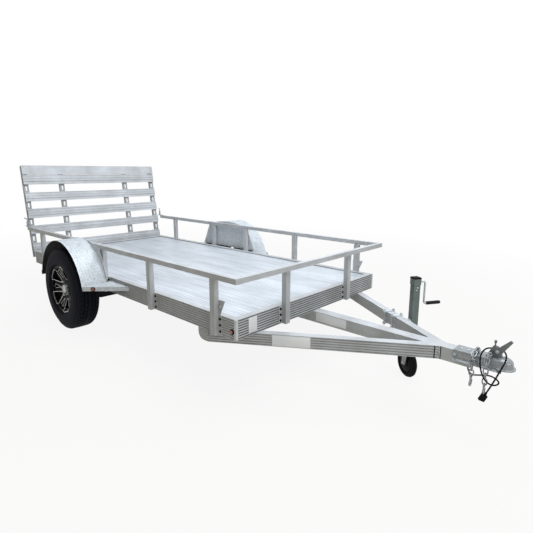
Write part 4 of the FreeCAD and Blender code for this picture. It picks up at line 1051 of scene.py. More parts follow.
@dataclass
class Wheels(Assembly):
    """Tyres with tread and the bright trim of the black wheels."""

    track: float = 0.920
    radius: float = 0.332
    crown: float = 0.0022
    grooves: Pair = (0.0165, 0.0430)
    groove_half: float = 0.0032
    groove_deep: float = 0.0075
    groove_draft: float = 0.0008
    tread_half: float = 0.0625
    steps: int = 216
    sipe_pitch: int = 4
    sipe_deep: float = 0.005
    disc_face: float = 0.0421
    disc_edge: float = 0.0681
    dish: Pair = (0.072, 0.150)
    rise: Pair = (0.167, 0.174)
    lip_face: float = 0.0832
    spokes: int = 5
    window: Pair = (0.084, 0.187)
    window_half: Pair = (9.0, 17.5)
    window_line: float = 0.0054
    slot: Pair = (0.092, 0.161)
    slot_half: Pair = (1.6, 6.0)
    slot_line: float = 0.0036
    line_gap: float = 0.0004
    line_thick: float = 0.0014
    corner: float = 0.009
    corner_turn: float = 4.0
    corner_steps: int = 6
    bolt_circle: float = 0.05715
    nut_sink: float = 0.001
    # Length, radius, sides and edge of a nut and of the stud in it
    nut: tuple[tuple[float, ...], ...] = ((0.016, 0.0105, 6, 0.0012), (0.021, 0.0075, 16, 0.002))
    # Sections as radius and place along the axle
    wall: tuple[Pair, ...] = (
        (0.3270, 0.0700), (0.3225, 0.0765), (0.3165, 0.0812), (0.3145, 0.0815),
        (0.3050, 0.0868), (0.2930, 0.0925), (0.2910, 0.0945), (0.2880, 0.0945), (0.2850, 0.0952),
        (0.2700, 0.0990), (0.2550, 0.1010), (0.2400, 0.1010), (0.2260, 0.0995), (0.2190, 0.0990),
        (0.2160, 0.1000), (0.2110, 0.0995), (0.2080, 0.0960), (0.2030, 0.0900), (0.1985, 0.0830),
        (0.1972, 0.0742), (0.1790, 0.0742),
    )
    inside: tuple[Pair, ...] = (
        (0.1790, 0.0600), (0.2450, 0.0900), (0.3050, 0.0760), (0.3150, 0.0500), (0.3150, 0.0100),
    )
    cap: tuple[Pair, ...] = (
        (0.0, 0.040), (0.036, 0.040), (0.0368, 0.052), (0.034, 0.0625), (0.029, 0.0655),
        (0.0, 0.0675),
    )
    cap_steps: int = 40
    smooth: float = 28.0

    def half_section(self) -> list[Pair]:
        """Outlines half of the tyre.

        Returns:
            Its outside from the middle of the tread to the bead, then its inside.
        """
        points = []
        for middle in self.grooves:
            near, far = middle - self.groove_half, middle + self.groove_half
            top = self.radius - self.crown * (middle / self.tread_half) ** 2
            foot = top - self.groove_deep
            points += [(top, near), (foot, near + self.groove_draft),
                       (foot, far - self.groove_draft), (top, far)]
        return [*points, (self.radius - self.crown, self.tread_half), *self.wall, *self.inside]

    def is_cut(self, face: bmesh.types.BMFace) -> bool:
        """Tells whether a cross groove of the tread cuts a face of the tyre.

        Args:
            face: Face of the tyre.

        Returns:
            Whether it is cut.
        """
        middle = face.calc_center_median()
        if math.hypot(middle.x, middle.z) < self.radius - 2 * self.crown:
            return False
        turn = int((math.atan2(middle.z, middle.x) + math.pi) / math.tau * self.steps)
        side = abs(middle.y)
        shoulder = side > self.grooves[-1] + self.groove_half
        place = 0 if shoulder else self.sipe_pitch / 2
        return side > self.grooves[0] and turn % self.sipe_pitch == place

    def tyre(self) -> Piece:
        """Makes a tyre with its tread.

        Returns:
            The tyre, its axis along Y and its middle at the origin.
        """
        half = self.half_section()
        section = half + [(radius, -along) for radius, along in reversed(half)]
        piece = Shop.turned(section, (0, 0, 0), (0, 1, 0), self.steps)
        with Shop.editing(piece):
            Shop.pick_faces(piece, self.is_cut)
            bpy.ops.mesh.extrude_region_shrink_fatten(
                TRANSFORM_OT_shrink_fatten={"value": -self.sipe_deep})
        return piece

    def face_depth(self, radius: float) -> float:
        """Finds the outer face of the dished spokes, or of the flat of the rim round them.

        Args:
            radius: Radius on the wheel.

        Returns:
            How far out the face stands there.
        """
        steps = ((self.dish, self.disc_face, self.disc_edge),
                 (self.rise, self.disc_edge, self.lip_face))
        low, inner, outer = steps[radius > self.rise[0]]
        share = (radius - low[0]) / (low[1] - low[0])
        return inner + (outer - inner) * min(1.0, max(0.0, share))

    def opening(self, turn: float, reach: Pair, half: Pair) -> list[Vector]:
        """Outlines an opening in the wheel disc, as the CAD cuts it.

        Args:
            turn: Direction of the opening in degrees.
            reach: Its inner and outer radius.
            half: Its half angle at both.

        Returns:
            Points round the opening in the wheel's plane, evenly split.
        """
        low, high = reach
        corners = ((low + self.corner, -half[0]), (high - self.corner, -half[1]),
                   (high, self.corner_turn - half[1]), (high, half[1] - self.corner_turn),
                   (high - self.corner, half[1]), (low + self.corner, half[0]), (low, 0.0))
        places = []
        for radius, degrees in corners:
            angle = math.radians(turn + degrees)
            places.append(Vector((radius * math.cos(angle), radius * math.sin(angle))))
        steps = self.corner_steps
        return [first.lerp(last, share / steps)
                for first, last in zip(places, places[1:] + places[:1]) for share in range(steps)]

    def outline(self, points: list[Vector], line: float) -> Piece:
        """Makes a thin machined line round an opening of the disc.

        Args:
            points: Outline of the opening.
            line: Width of the line.

        Returns:
            The line, standing on the disc's outer face, towards -Y.
        """
        count = len(points)
        piece = Shop.primitive(bpy.ops.mesh.primitive_circle_add, vertices=count)
        with Shop.editing(piece):
            bpy.ops.mesh.extrude_edges_move()
        for index, point in enumerate(points):
            along = (points[(index + 1) % count] - points[index - 1]).normalized()
            for ring, grow in enumerate((self.line_gap, line)):
                place = point + Vector((along.y, -along.x)) * grow
                corner = piece.data.vertices[ring * count + index]
                corner.co = (place.x, -self.face_depth(place.length), place.y)
        Shop.modify(piece, "SOLIDIFY", thickness=self.line_thick, offset=0.0)
        with Shop.editing(piece):
            bpy.ops.mesh.normals_make_consistent(inside=False)
        return piece

    def outlines(self) -> Piece:
        """Makes the machined lines of the twin spokes, which run out over the flat of the rim.

        Returns:
            The lines.
        """
        lines = []
        for index in range(self.spokes):
            window = self.opening(360.0 * index / self.spokes, self.window, self.window_half)
            slot = self.opening(360.0 * (index + 0.5) / self.spokes, self.slot, self.slot_half)
            lines += [self.outline(window, self.window_line), self.outline(slot, self.slot_line)]
        return Shop.join(lines)

    def nuts(self) -> Piece:
        """Makes the wheel nuts with their studs.

        Returns:
            The nuts.
        """
        nuts = []
        for index in range(self.spokes):
            turn = math.tau * (index + 0.5) / self.spokes
            start = Vector((self.bolt_circle * math.cos(turn), self.nut_sink - self.disc_face,
                            self.bolt_circle * math.sin(turn)))
            nuts += [Shop.drum(start, start - Vector((0, length, 0)), radius, sides, edge)
                     for length, radius, sides, edge in self.nut]
        return Shop.join(nuts)

    def build(self) -> None:
        """Builds the right wheel and mirrors it to the left."""
        seat = Matrix.Translation(Vector(WHEEL_MIDDLE) - Vector((0, self.track, 0)))
        for piece, name, slot, tone in (
                (self.tyre(), "tread_tyre", Slot.TYRE, Tone.PLAIN),
                (self.outlines(), "rim_outlines", Slot.TRIM, Tone.BRIGHT),
                (Shop.turned(self.cap, (0, 0, 0), (0, -1, 0), self.cap_steps), "centre_cap",
                 Slot.TRIM, Tone.BRIGHT),
                (self.nuts(), "wheel_nuts", Slot.ZINC, Tone.PLAIN)):
            twin = Shop.mirrored(Shop.move(piece, seat))
            for made, side, body in ((piece, "right", Body.WHEEL_RIGHT),
                                     (twin, "left", Body.WHEEL_LEFT)):
                stood_for = (f"tyre_{side}",) if slot is Slot.TYRE else ()
                self.fit(made, f"{name}_{side}", slot, body, tone, stood_for, self.smooth)


@dataclass
class Fenders(Assembly):
    """Raised lozenges of the tread-plate fenders and steps, and the fenders' rolled edges."""

    radius: float = 0.400
    inner: float = 0.809
    outer: float = 1.002
    foot: float = 0.448
    pitch: float = 0.024
    size: Triple = (0.0105, 0.0038, 0.0038)
    taper: Triple = (0.72, 0.5, 1.0)
    sink: float = 0.0002
    margin_turn: float = 0.02
    margin_side: float = 0.01
    facing: float = 0.9
    step_top: float = 0.483
    frame_half: float = 0.762
    step_reach: float = 0.645
    step_gap: Pair = (0.006, 0.003)
    step_edge: float = 0.007
    step_tip: float = 0.004
    lip_half: float = 0.0035
    lip_out: float = 0.0036
    lip_steps: int = 48

    @property
    def low(self) -> float:
        """Angle at which the arch starts."""
        return math.asin((self.foot - ARCH_MIDDLE[2]) / self.radius)

    def lozenge(self, degrees: float) -> Piece:
        """Makes one raised lozenge.

        Args:
            degrees: Its direction about Z.

        Returns:
            The lozenge, lying flat and open below.
        """
        piece = Shop.primitive(bpy.ops.mesh.primitive_cylinder_add, vertices=6, radius=1, depth=1)
        Shop.settle(piece, self.size)
        with Shop.editing(piece):
            Shop.pick_faces(piece, lambda face: face.normal.z > self.facing)
            bpy.ops.transform.resize(value=self.taper)
            Shop.pick_faces(piece, lambda face: face.normal.z < -self.facing)
            bpy.ops.mesh.delete(type="FACE")
        return Shop.move(piece, Matrix.Rotation(math.radians(degrees), 4, "Z"))

    def field(self, rows: int, columns: int) -> Piece:
        """Fills a flat field with crossed lozenges.

        Args:
            rows: Copies along X.
            columns: Copies along Y.

        Returns:
            The field, from the origin along +X and +Y, lying on Z 0.
        """
        half = self.pitch / 2
        second = Shop.move(self.lozenge(-45), Matrix.Translation((half, half, 0)))
        piece = Shop.join([self.lozenge(45), second])
        Shop.move(piece, Matrix.Translation((half / 2, half / 2, 0)))
        Shop.repeat(piece, rows, (self.pitch, 0.0, 0.0))
        Shop.repeat(piece, columns, (0.0, self.pitch, 0.0))
        return piece

    def arch_field(self) -> Piece:
        """Wraps a field of lozenges round the right fender's arch.

        Returns:
            The lozenges on the arch.
        """
        low = self.low + self.margin_turn
        sweep = math.pi - 2 * low
        rows = int(sweep * self.radius / self.pitch)
        columns = int((self.outer - self.inner - self.margin_side) / self.pitch)
        start = low + (sweep - rows * self.pitch / self.radius) / 2
        margin = (self.outer - self.inner - columns * self.pitch) / 2
        piece = self.field(rows, columns)
        for vertex in piece.data.vertices:
            along, across, height = vertex.co
            angle = start + along / self.radius
            reach = self.radius + height - self.sink
            vertex.co = (ARCH_MIDDLE[0] + reach * math.cos(angle),
                         -(self.outer - margin - across),
                         ARCH_MIDDLE[2] + reach * math.sin(angle))
        with Shop.editing(piece):
            bpy.ops.mesh.flip_normals()
        return piece

    def step_field(self, direction: int) -> Piece:
        """Covers one right step with lozenges, cut to the step's slanted outline.

        Args:
            direction: 1 for the step ahead of the wheel, -1 for the one behind.

        Returns:
            The lozenges on the step.
        """
        reach = math.sqrt(self.radius ** 2 - (ARCH_MIDDLE[2] - self.foot) ** 2) + self.step_gap[0]
        width = self.outer - self.frame_half
        rows = int((self.step_reach - reach) / self.pitch) + 1
        piece = self.field(rows, int(width / self.pitch))
        Shop.move(piece, Matrix.Translation((reach, self.frame_half + self.step_gap[1],
                                             self.step_top)))
        slant = Vector((width, self.step_reach - reach - self.step_tip, 0.0)).normalized()
        edge = (self.step_reach - self.step_edge, self.frame_half, self.step_top)
        with Shop.editing(piece):
            bpy.ops.mesh.bisect(plane_co=edge, plane_no=slant, clear_outer=True, use_fill=True)
        side = Matrix.Translation((ARCH_MIDDLE[0], 0, 0)) @ Matrix.Diagonal((direction, -1, 1, 1))
        return Shop.move(piece, side)

    def lip(self) -> Piece:
        """Makes the folded outer lip of the right fender's arch.

        Returns:
            The lip.
        """
        middle = (self.radius - self.lip_half, 0, 0)
        piece = Shop.primitive(bpy.ops.mesh.primitive_circle_add, vertices=8,
                               radius=self.lip_half, fill_type="NGON")
        Shop.move(piece, Matrix.Translation(middle))
        with Shop.editing(piece):
            bpy.ops.transform.rotate(value=math.pi / 2, orient_axis="X", center_override=middle)
            bpy.ops.mesh.spin(steps=self.lip_steps, angle=math.pi - 2 * self.low,
                              center=(0, 0, 0), axis=(0, 1, 0))
        seat = Matrix.Translation((ARCH_MIDDLE[0], self.lip_out - self.outer, ARCH_MIDDLE[2]))
        Shop.move(piece, seat @ Matrix.Rotation(-self.low, 4, "Y"))
        with Shop.editing(piece):
            bpy.ops.mesh.normals_make_consistent(inside=False)
        return piece

    def build(self) -> None:
        """Dresses both fenders."""
        steps = Shop.join([self.step_field(1), self.step_field(-1)])
        for piece, name in ((self.arch_field(), "arch_lozenges"), (steps, "step_lozenges"),
                            (self.lip(), "fender_lip")):
            self.fit_pair(piece, name, Slot.TREAD_PLATE, Tone.BRIGHT)


@dataclass
class DeckFrame(Assembly):
    """Bolts, weld beads, lamp bezels and bare labels of the deck frame, posts and tongue."""

    posts: tuple[float, ...] = (-0.165, -0.840, -1.500, -2.010, -2.750)
    post_half: float = 0.020
    front_posts: Pair = (-0.350, 0.350)
    rail_half: float = 0.762
    rail_foot: float = 0.733
    flange: float = 0.004
    bolt_rise: Triple = (0.412, 0.450, 0.488)
    bolt_side: float = 0.034
    bolt_size: float = 0.0062
    gusset_bolt: Pair = (-0.131, 0.562)
    gusset_size: float = 0.0075
    post_weld: float = 0.0026
    member_weld: float = 0.0035
    member_half: float = 0.038
    weld_out: float = 0.0005
    weld_inset: float = 0.003
    # Places of the black pins that paint the shade in the gaps at the tongue's joint
    seams: tuple[Pair, ...] = ((0.849, -0.052395), (0.8765, -0.038))
    seam: float = 0.0026
    seam_inset: float = 0.002
    seam_sides: int = 12
    label_edge: float = 0.0001
    front_label: tuple[Triple, Triple] = ((0.0, -0.662, 0.405), (0.0004, -0.593, 0.500))
    centre_label: tuple[Triple, Triple] = ((0.0245, -0.0384, 0.326), (0.267, -0.0380, 0.384))
    member_label: tuple[Triple, Triple] = ((0.0, -0.0002, 0.318), (0.226, 0.0002, 0.384))
    member_start: float = 0.081
    member_out: float = 0.0004
    bezel: tuple[Pair, ...] = (
        (0.0112, 0.0), (0.0165, 0.0), (0.0155, 0.0062), (0.0128, 0.0080), (0.0112, 0.0070),
    )
    bezel_steps: int = 32
    rail_lamp: Triple = (-0.032, -0.762, 0.434)
    step_lamp: Triple = (-1.35785, -0.9492, 0.467)
    step_out: Triple = (0.7059, -0.7083, 0.0)

    def bolt_rows(self, posts: Sequence[float], spot: Callable[[float, float], Point],
                  axis: Point) -> Piece:
        """Makes the bolts, three high, on both sides of a row of posts.

        Args:
            posts: Places of the posts along their rail.
            spot: Gives the point on the flange at a place along the rail and a height.
            axis: Direction out of the flange.

        Returns:
            The bolts.
        """
        return Shop.join([Hardware.hex_bolt(spot(post + side * self.bolt_side, rise), axis,
                                            self.bolt_size)
                          for post in posts for side in (-1, 1) for rise in self.bolt_rise])

    def post_bolts(self) -> None:
        """Fits the dark bolts beside the posts."""
        out = -self.rail_half - self.flange
        side = self.bolt_rows(self.posts, lambda along, rise: (along, out, rise), (0, -1, 0))
        self.fit_pair(side, "post_bolts", Slot.RUBBER)
        front = self.bolt_rows(self.front_posts, lambda along, rise: (self.flange, along, rise),
                               (1, 0, 0))
        self.fit(front, "post_bolts_front", Slot.RUBBER)

    def gusset_bolts(self) -> None:
        """Fits the bright bolt on the inner and outer face of each gusset."""
        x, z = self.gusset_bolt
        bolts = [Hardware.hex_bolt((x, y, z), (0, way, 0), self.gusset_size)
                 for y, way in ((-self.rail_half, -1), (self.flange - self.rail_half, 1))]
        self.fit_pair(Shop.join(bolts), "gusset_bolts", Slot.ZINC)

    def post_welds(self) -> None:
        """Lays weld beads where the side posts meet the top rail."""
        low, high = self.stance.box("posts_right")
        beads = []
        for post in self.posts:
            near, far = post - self.post_half, post + self.post_half
            for start, end in (((near, low.y), (far, low.y)), ((near, low.y), (near, high.y)),
                               ((far, low.y), (far, high.y))):
                beads.append(Hardware.weld((*start, self.rail_foot), (*end, self.rail_foot),
                                           self.post_weld))
        self.fit_pair(Shop.join(beads), "post_welds", Slot.TRIM)

    def tongue_joints(self) -> None:
        """Lays the upright weld beads where the tongue members meet, and black pins as painted
        shade in the gaps between the cut plates.
        """
        low, high = self.stance.box("tongue_side_right")
        x, y = (TONGUE_SPREAD - self.member_half) / TONGUE_SLOPE, -self.member_half - self.weld_out
        bead = Hardware.weld((x, y, low.z + self.weld_inset), (x, y, high.z - self.weld_inset),
                             self.member_weld)
        self.fit_pair(bead, "tongue_weld", Slot.TRIM)
        # Painted shade: black pins stand in for the shade in the gaps between the cut plates
        seams = [Shop.drum((x, y, low.z + self.seam_inset), (x, y, high.z - self.seam_inset),
                           self.seam, self.seam_sides) for x, y in self.seams]
        self.fit_pair(Shop.join(seams), "tongue_seams", Slot.RUBBER)

    def labels(self) -> None:
        """Sticks the bare labels on the front rail and the tongue."""
        front, centre, member = (Shop.block(low, high, self.label_edge) for low, high in (
            self.front_label, self.centre_label, self.member_label))
        side = TONGUE_SLOPE * self.member_start - TONGUE_SPREAD - self.member_out
        Shop.move(member, Matrix.Translation((self.member_start, side, 0))
                  @ Matrix.Rotation(math.atan(TONGUE_SLOPE), 4, "Z"))
        self.fit(Shop.join([front, member, centre]), "bare_labels", Slot.TRIM, tone=Tone.BRIGHT)

    def bezels(self) -> None:
        """Fits the dark housings round the side marker lamps."""
        lamps = ((self.rail_lamp, (0, -1, 0)), (self.step_lamp, self.step_out))
        rings = [Shop.turned(self.bezel, place, axis, self.bezel_steps) for place, axis in lamps]
        self.fit_pair(Shop.join(rings), "lamp_bezel", Slot.RUBBER)

    def build(self) -> None:
        """Dresses the frame on both sides."""
        for job in (self.post_bolts, self.post_welds, self.tongue_joints, self.labels,
                    self.gusset_bolts, self.bezels):
            job()


@dataclass
class Gate(Assembly):
    """Bolts that hold the slats to the gate's uprights."""

    hinge: Triple = (-3.084, 0.0, 0.424)
    face: float = 0.0139
    bolt_size: float = 0.006
    slats: tuple[Pair, ...] = (
        (0.074, 0.163), (0.256, 0.345), (0.421, 0.519), (0.596, 0.688), (0.772, 0.868),
    )
    supports: tuple[float, ...] = (-0.740, -0.375, 0.375, 0.740)

    def build(self) -> None:
        """Puts one bolt a slat on every upright, drawn upright and then leaned over the hinges."""
        heads = [Hardware.round_head((self.face, y, (low + high) / 2), (1, 0, 0), self.bolt_size)
                 for low, high in self.slats for y in self.supports]
        lean = Matrix.Rotation(-math.radians(GATE_LEAN), 4, "Y")
        bolts = Shop.move(Shop.join(heads), Matrix.Translation(self.hinge) @ lean)
        self.fit(bolts, "gate_bolts", Slot.ZINC, Body.GATE)


@dataclass
class Jack(Assembly):
    """Cap, grip ribs, bolts and caster hub of the tongue jack, drawn at the jack's foot."""

    along: float = 0.525
    offset: float = 0.062
    top: float = 0.658
    head: float = 0.050
    cap_out: float = 0.0015
    cap_rise: Pair = (-0.006, 0.004)
    cap_edge: float = 0.002
    grip_length: float = 0.104
    grip_radius: float = 0.0118
    grip_bore: float = 0.0066
    grip_end: float = 0.004
    grip_ends: Pair = (0.86, 0.8)
    grip_start: Triple = (0.0, 0.087, 0.480)
    grip_steps: int = 28
    ribs: int = 9
    # Share of the radius and of the step at each edge of a rib
    rib: tuple[Pair, ...] = ((0.9, 0.08), (1.0, 0.25), (1.0, 0.75), (0.9, 0.92))
    strap_bolts: Pair = (-0.148, -0.050)
    strap_sides: Pair = (-0.0595, -0.1255)
    strap_rise: Pair = (0.307, 0.395)
    strap_bolt: float = 0.0085
    strap_rod: float = 0.0055
    rod_sides: int = 16
    rod_end: float = 0.001
    # Places of the two bright rivets that stand in for glints on the tube
    rivets: tuple[Triple, ...] = ((0.0225, 0.002, 0.594), (0.0225, -0.004, 0.578))
    rivet: float = 0.0055
    wheel: Pair = (-0.034, 0.056)
    cover_side: float = 0.0101
    cover_steps: int = 40
    cover: tuple[Pair, ...] = (
        (0.0065, 0.0), (0.066, 0.0), (0.064, 0.004), (0.050, 0.007), (0.032, 0.0082),
        (0.0305, 0.0115), (0.0065, 0.0115),
    )
    wheel_bolt_side: float = 0.031
    wheel_bolt: float = 0.0095

    @property
    def seat(self) -> Matrix:
        """Finds the jack's foot.

        Returns:
            Frame there: X along the tongue member, Y away from it.
        """
        member = Matrix.Translation((self.along, TONGUE_SPREAD - TONGUE_SLOPE * self.along, 0.0))
        turn = Matrix.Rotation(-math.atan(TONGUE_SLOPE), 4, "Z")
        return member @ turn @ Matrix.Translation((0.0, self.offset, 0.0))

    def cap(self) -> Piece:
        """Makes the black cap over the gear head.

        Returns:
            The cap.
        """
        half = self.head / 2 + self.cap_out
        low, high = (self.top + rise for rise in self.cap_rise)
        return Shop.block((-half, -half, low), (half, half, high), self.cap_edge)

    def grip(self) -> Piece:
        """Makes the ribbed black grip over the crank's end.

        Returns:
            The grip.
        """
        length, radius = self.grip_length, self.grip_radius
        step = (length - 2 * self.grip_end) / self.ribs
        section = [(self.grip_bore, 0.0), (radius * self.grip_ends[0], 0.0)]
        section += [(radius * share, self.grip_end + step * (index + place))
                    for index in range(self.ribs) for share, place in self.rib]
        section += [(radius * self.grip_ends[1], length), (self.grip_bore, length)]
        return Shop.turned(section, self.grip_start, (0, 1, 0), self.grip_steps)

    def strap(self) -> Piece:
        """Makes the strap bolts above and below the tongue member.

        Returns:
            The bolt heads, with the rods beyond the member.
        """
        low, high = self.strap_rise
        heads = []
        for x in self.strap_bolts:
            heads += [Hardware.hex_bolt((x, y, z), (0, 0, out), self.strap_bolt)
                      for z, out in ((high, 1), (low, -1)) for y in self.strap_sides]
            y = self.strap_sides[1]
            heads.append(Shop.drum((x, y, low - self.rod_end), (x, y, high + self.rod_end),
                                   self.strap_rod, self.rod_sides))
        return Shop.join(heads)

    def marks(self) -> Piece:
        """Makes two bright rivets near the top of the tube, their bright tone a painted highlight
        for the glints there.
        """
        return Shop.join([Hardware.round_head(place, (1, 0, 0), self.rivet)
                          for place in self.rivets])

    def covers(self) -> Piece:
        """Makes the glossy covers on both sides of the jack wheel."""
        x, z = self.wheel
        return Shop.join([Shop.turned(self.cover, (x, side * self.cover_side, z), (0, side, 0),
                                      self.cover_steps) for side in (-1, 1)])

    def wheel_bolts(self) -> Piece:
        """Makes the bolt head and nut of the jack wheel's axle."""
        x, z = self.wheel
        return Shop.join([Hardware.hex_bolt((x, side * self.wheel_bolt_side, z), (0, side, 0),
                                            self.wheel_bolt) for side in (-1, 1)])

    def build(self) -> None:
        """Dresses the jack."""
        for piece, name, slot, body, tone, stood_for in (
                (self.cap(), "jack_cap", Slot.RUBBER, Body.JACK, Tone.PLAIN, ()),
                (self.grip(), "crank_grip", Slot.GRIP, Body.JACK, Tone.PLAIN, ("jack_grip",)),
                (self.strap(), "strap_bolts", Slot.ZINC, Body.ROOT, Tone.PLAIN, ()),
                # The tube's rivets are bright as painted highlights for glints
                (self.marks(), "tube_rivets", Slot.ZINC, Body.JACK, Tone.BRIGHT, ()),
                (self.covers(), "caster_covers", Slot.WHEEL, Body.ROLLER, Tone.PLAIN, ()),
                (self.wheel_bolts(), "caster_bolt", Slot.ZINC, Body.CASTER, Tone.PLAIN, ())):
            self.fit(Shop.move(piece, self.seat), name, slot, body, tone, stood_for)


@dataclass
class Coupler(Assembly):
    """Bolts, rivets and latch pin of the coupler."""

    half: float = 0.0425
    top: float = 0.3935
    side_bolts: Pair = (0.9545, 1.080)
    side_rise: float = 0.366
    side_size: float = 0.0078
    rivets: Pair = (0.975, 1.012)
    rivet: float = 0.008
    latch: Pair = (1.150, 0.036)
    # Ends, radius, sides and edge of the pin and of a washer
    pin: tuple[float, ...] = (-0.014, 0.014, 0.0055, 16, 0.001)
    washer: tuple[float, ...] = (0.0088, 0.0112, 0.0095, 20)

    def bolts(self) -> None:
        """Fits the side bolts, heads right and nuts left, and the rivets on top."""
        heads = [Hardware.hex_bolt((x, side * self.half, self.side_rise), (0, side, 0),
                                   self.side_size) for x in self.side_bolts for side in (-1, 1)]
        heads += [Hardware.round_head((x, 0.0, self.top), (0, 0, 1), self.rivet)
                  for x in self.rivets]
        self.fit(Shop.join(heads), "coupler_bolts", Slot.ZINC)

    def latch_pin(self) -> None:
        """Fits the cross pin that the latch lever turns on, with its washers."""
        x, height = self.latch[0], self.top + self.latch[1]
        near, far, *washer = self.washer
        pins = [Shop.drum((x, start, height), (x, end, height), *sizes) for start, end, *sizes in (
            self.pin, (-near, -far, *washer), (near, far, *washer))]
        self.fit(Shop.join(pins), "latch_pin", Slot.ZINC)

    def build(self) -> None:
        """Dresses the coupler."""
        self.bolts()
        self.latch_pin()


@dataclass
class WiringLead(Assembly):
    """Trailer wiring lead that hangs in loops at the coupler and ends at its plug."""

    radius: float = 0.0040
    length: float = 0.8857
    round_steps: int = 5
    bend_steps: int = 10
    order: int = 3
    route: tuple[Triple, ...] = (
        (1.015, -0.006, 0.313), (1.015, -0.006, 0.284), (1.041, -0.012, 0.266),
        (1.082, -0.022, 0.282), (1.110, -0.032, 0.296), (1.142, -0.044, 0.306),
        (1.178, -0.072, 0.309), (1.196, -0.100, 0.304), (1.180, -0.129, 0.298),
        (1.148, -0.132, 0.302), (1.122, -0.122, 0.326), (1.104, -0.106, 0.357),
        (1.094, -0.090, 0.390), (1.088, -0.062, 0.414), (1.090, -0.028, 0.426),
        (1.098, 0.004, 0.431), (1.120, 0.027, 0.430), (1.152, 0.033, 0.434),
        (1.180, 0.020, 0.427), (1.194, -0.008, 0.418), (1.200, -0.038, 0.408),
        (1.197, -0.066, 0.390), (1.189, -0.086, 0.363), (1.179, -0.098, 0.331),
        (1.168, -0.104, 0.300), (1.156, -0.108, 0.268), (1.144, -0.112, 0.240),
    )

    def build(self) -> None:
        matrix = self.stance.matrix
        curve = bpy.data.curves.new("lead", "CURVE")
        curve.dimensions = "3D"
        curve.bevel_depth = self.radius
        curve.bevel_resolution = self.round_steps
        curve.resolution_u = self.bend_steps
        curve.use_fill_caps = True
        spline = curve.splines.new("NURBS")
        spline.points.add(len(self.route) - 1)
        for knot, place in zip(spline.points, self.route):
            knot.co = (*(matrix @ Vector(place)), 1.0)
        spline.order_u = self.order
        spline.use_endpoint_u = True
        piece = bpy.data.objects.new("lead", curve)
        bpy.context.scene.collection.objects.link(piece)
        self.dress(piece, Look(Slot.CABLE))
        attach(piece, Body.ROOT.value)
        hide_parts("wiring_lead")


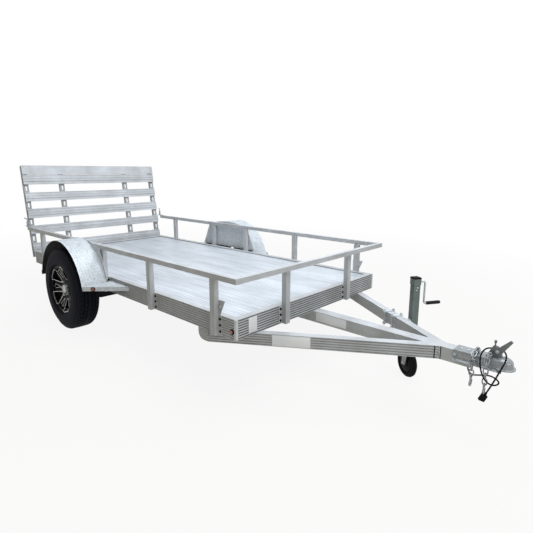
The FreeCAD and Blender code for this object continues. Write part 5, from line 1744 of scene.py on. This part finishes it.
@dataclass
class Studio:
    """Pale floor, soft light and the camera at the photograph's angle."""

    stance: Stance
    eye: Triple = (1.680, -2.3145, 1.3409)
    yaw: float = 132.863
    tilt: float = -10.911
    roll: float = -0.149
    focal_pixels: float = 426.56
    centre_pixels: Pair = (267.33, 252.37)
    image_pixels: float = 533.0
    sensor: float = 36.0
    nearest: float = 0.05
    ambient: float = 0.135
    floor_size: float = 60.0
    floor_colour: Triple = (0.42, 0.40, 0.33)
    floor_rough: float = 0.9
    floor_shade: float = 0.1
    shade_start: float = 1.5
    shade_slope: float = 0.22
    # Name, place, target, side of the square, watts and colour of each lamp
    lamps: tuple[tuple, ...] = (
        ("overhead", (1.2, 0.5, 4.7), (-0.3, 0.0, 0.3), 4.0, 310.0, (0.88, 0.94, 1.0)),
        ("front", (6.5, -1.8, 2.2), (0.0, 0.0, 0.5), 2.5, 75.0, (1.0, 1.0, 1.0)),
        ("side", (0.0, -6.0, 2.2), (-0.2, 0.0, 0.4), 3.5, 22.0, (1.0, 0.93, 0.74)),
    )

    def camera(self) -> None:
        """Places the camera as the photograph was taken."""
        data = bpy.data.cameras.new("camera")
        camera = bpy.data.objects.new("camera", data)
        bpy.context.scene.collection.objects.link(camera)
        data.sensor_width = self.sensor
        data.lens = self.focal_pixels / self.image_pixels * self.sensor
        data.shift_x = HALF - self.centre_pixels[0] / self.image_pixels
        data.shift_y = self.centre_pixels[1] / self.image_pixels - HALF
        data.clip_start = self.nearest
        yaw, tilt = math.radians(self.yaw), math.radians(self.tilt)
        forward = Vector((math.cos(yaw) * math.cos(tilt), math.sin(yaw) * math.cos(tilt),
                          math.sin(tilt)))
        right = forward.cross(Vector((0, 0, 1))).normalized()
        axes = Matrix((right, right.cross(forward), -forward)).transposed()
        place = (Matrix.Rotation(math.radians(self.roll), 3, forward) @ axes).to_4x4()
        place.translation = Vector(self.eye)
        camera.matrix_world = self.stance.matrix @ place
        bpy.context.scene.camera = camera

    def lights(self) -> None:
        """Hangs the soft square lamps over and beside the trailer."""
        for name, place, target, size, power, colour in self.lamps:
            data = bpy.data.lights.new(name, "AREA")
            data.size = size
            data.energy = power
            data.color = colour
            lamp = bpy.data.objects.new(name, data)
            lamp.location = place
            aim = Vector(target) - Vector(place)
            lamp.rotation_euler = aim.to_track_quat("-Z", "Y").to_euler()
            bpy.context.scene.collection.objects.link(lamp)

    def world(self) -> None:
        """Makes the surroundings white to the eye and in reflections, softer as ambient light."""
        world = bpy.data.worlds.new("studio")
        bpy.context.scene.world = world
        nodes = Nodes(world, "Background", self.stance)
        nodes.set(color=(1.0, 1.0, 1.0), strength=nodes.shown(self.ambient))

    def floor(self) -> None:
        """Lays the pale floor, white to the eye but a little darker near the trailer."""
        floor = Shop.primitive(bpy.ops.mesh.primitive_plane_add, size=self.floor_size)
        floor.name = "floor"
        material = bpy.data.materials.new("studio_floor")
        floor.data.materials.append(material)
        nodes = Nodes(material, "Principled BSDF", self.stance)
        nodes.set(base_color=self.floor_colour, roughness=self.floor_rough)
        east, north = nodes.axis("X"), nodes.axis("Y")
        distance = (east * east + north * north).power(0.5)
        near = (1.0 - (distance - self.shade_start) * self.shade_slope).clamped()
        share = nodes.shown(0.0) * (1.0 - near * self.floor_shade)
        glow = nodes.add("ShaderNodeEmission", 0, {"Color": (1.0, 1.0, 1.0), "Strength": 1.0})
        lit = Value(nodes, nodes.shader.outputs[0])
        surface = nodes.add("ShaderNodeMixShader", 0, {0: share, 1: lit, 2: glow})
        nodes.feed(nodes.tree.nodes["Material Output"].inputs["Surface"], surface)

    def build(self) -> None:
        """Sets up the whole studio."""
        self.camera()
        self.lights()
        self.world()
        self.floor()
        bpy.context.scene.view_settings.view_transform = "Standard"


def main() -> None:
    """Loads the frame, builds every sub-assembly and reports each piece."""
    logging.basicConfig(level=logging.INFO, format="%(message)s")
    for left_over in list(bpy.data.objects):
        bpy.data.objects.remove(left_over)
    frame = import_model()
    stance = Stance.read(frame)
    finishes = FinishRack(stance)
    Studio(stance).build()
    for assembly in (CadFinishes, WiringLead, Wheels, Fenders, DeckFrame, Gate, Jack, Coupler):
        assembly(stance, finishes).build()


if __name__ == "__main__":
    main()
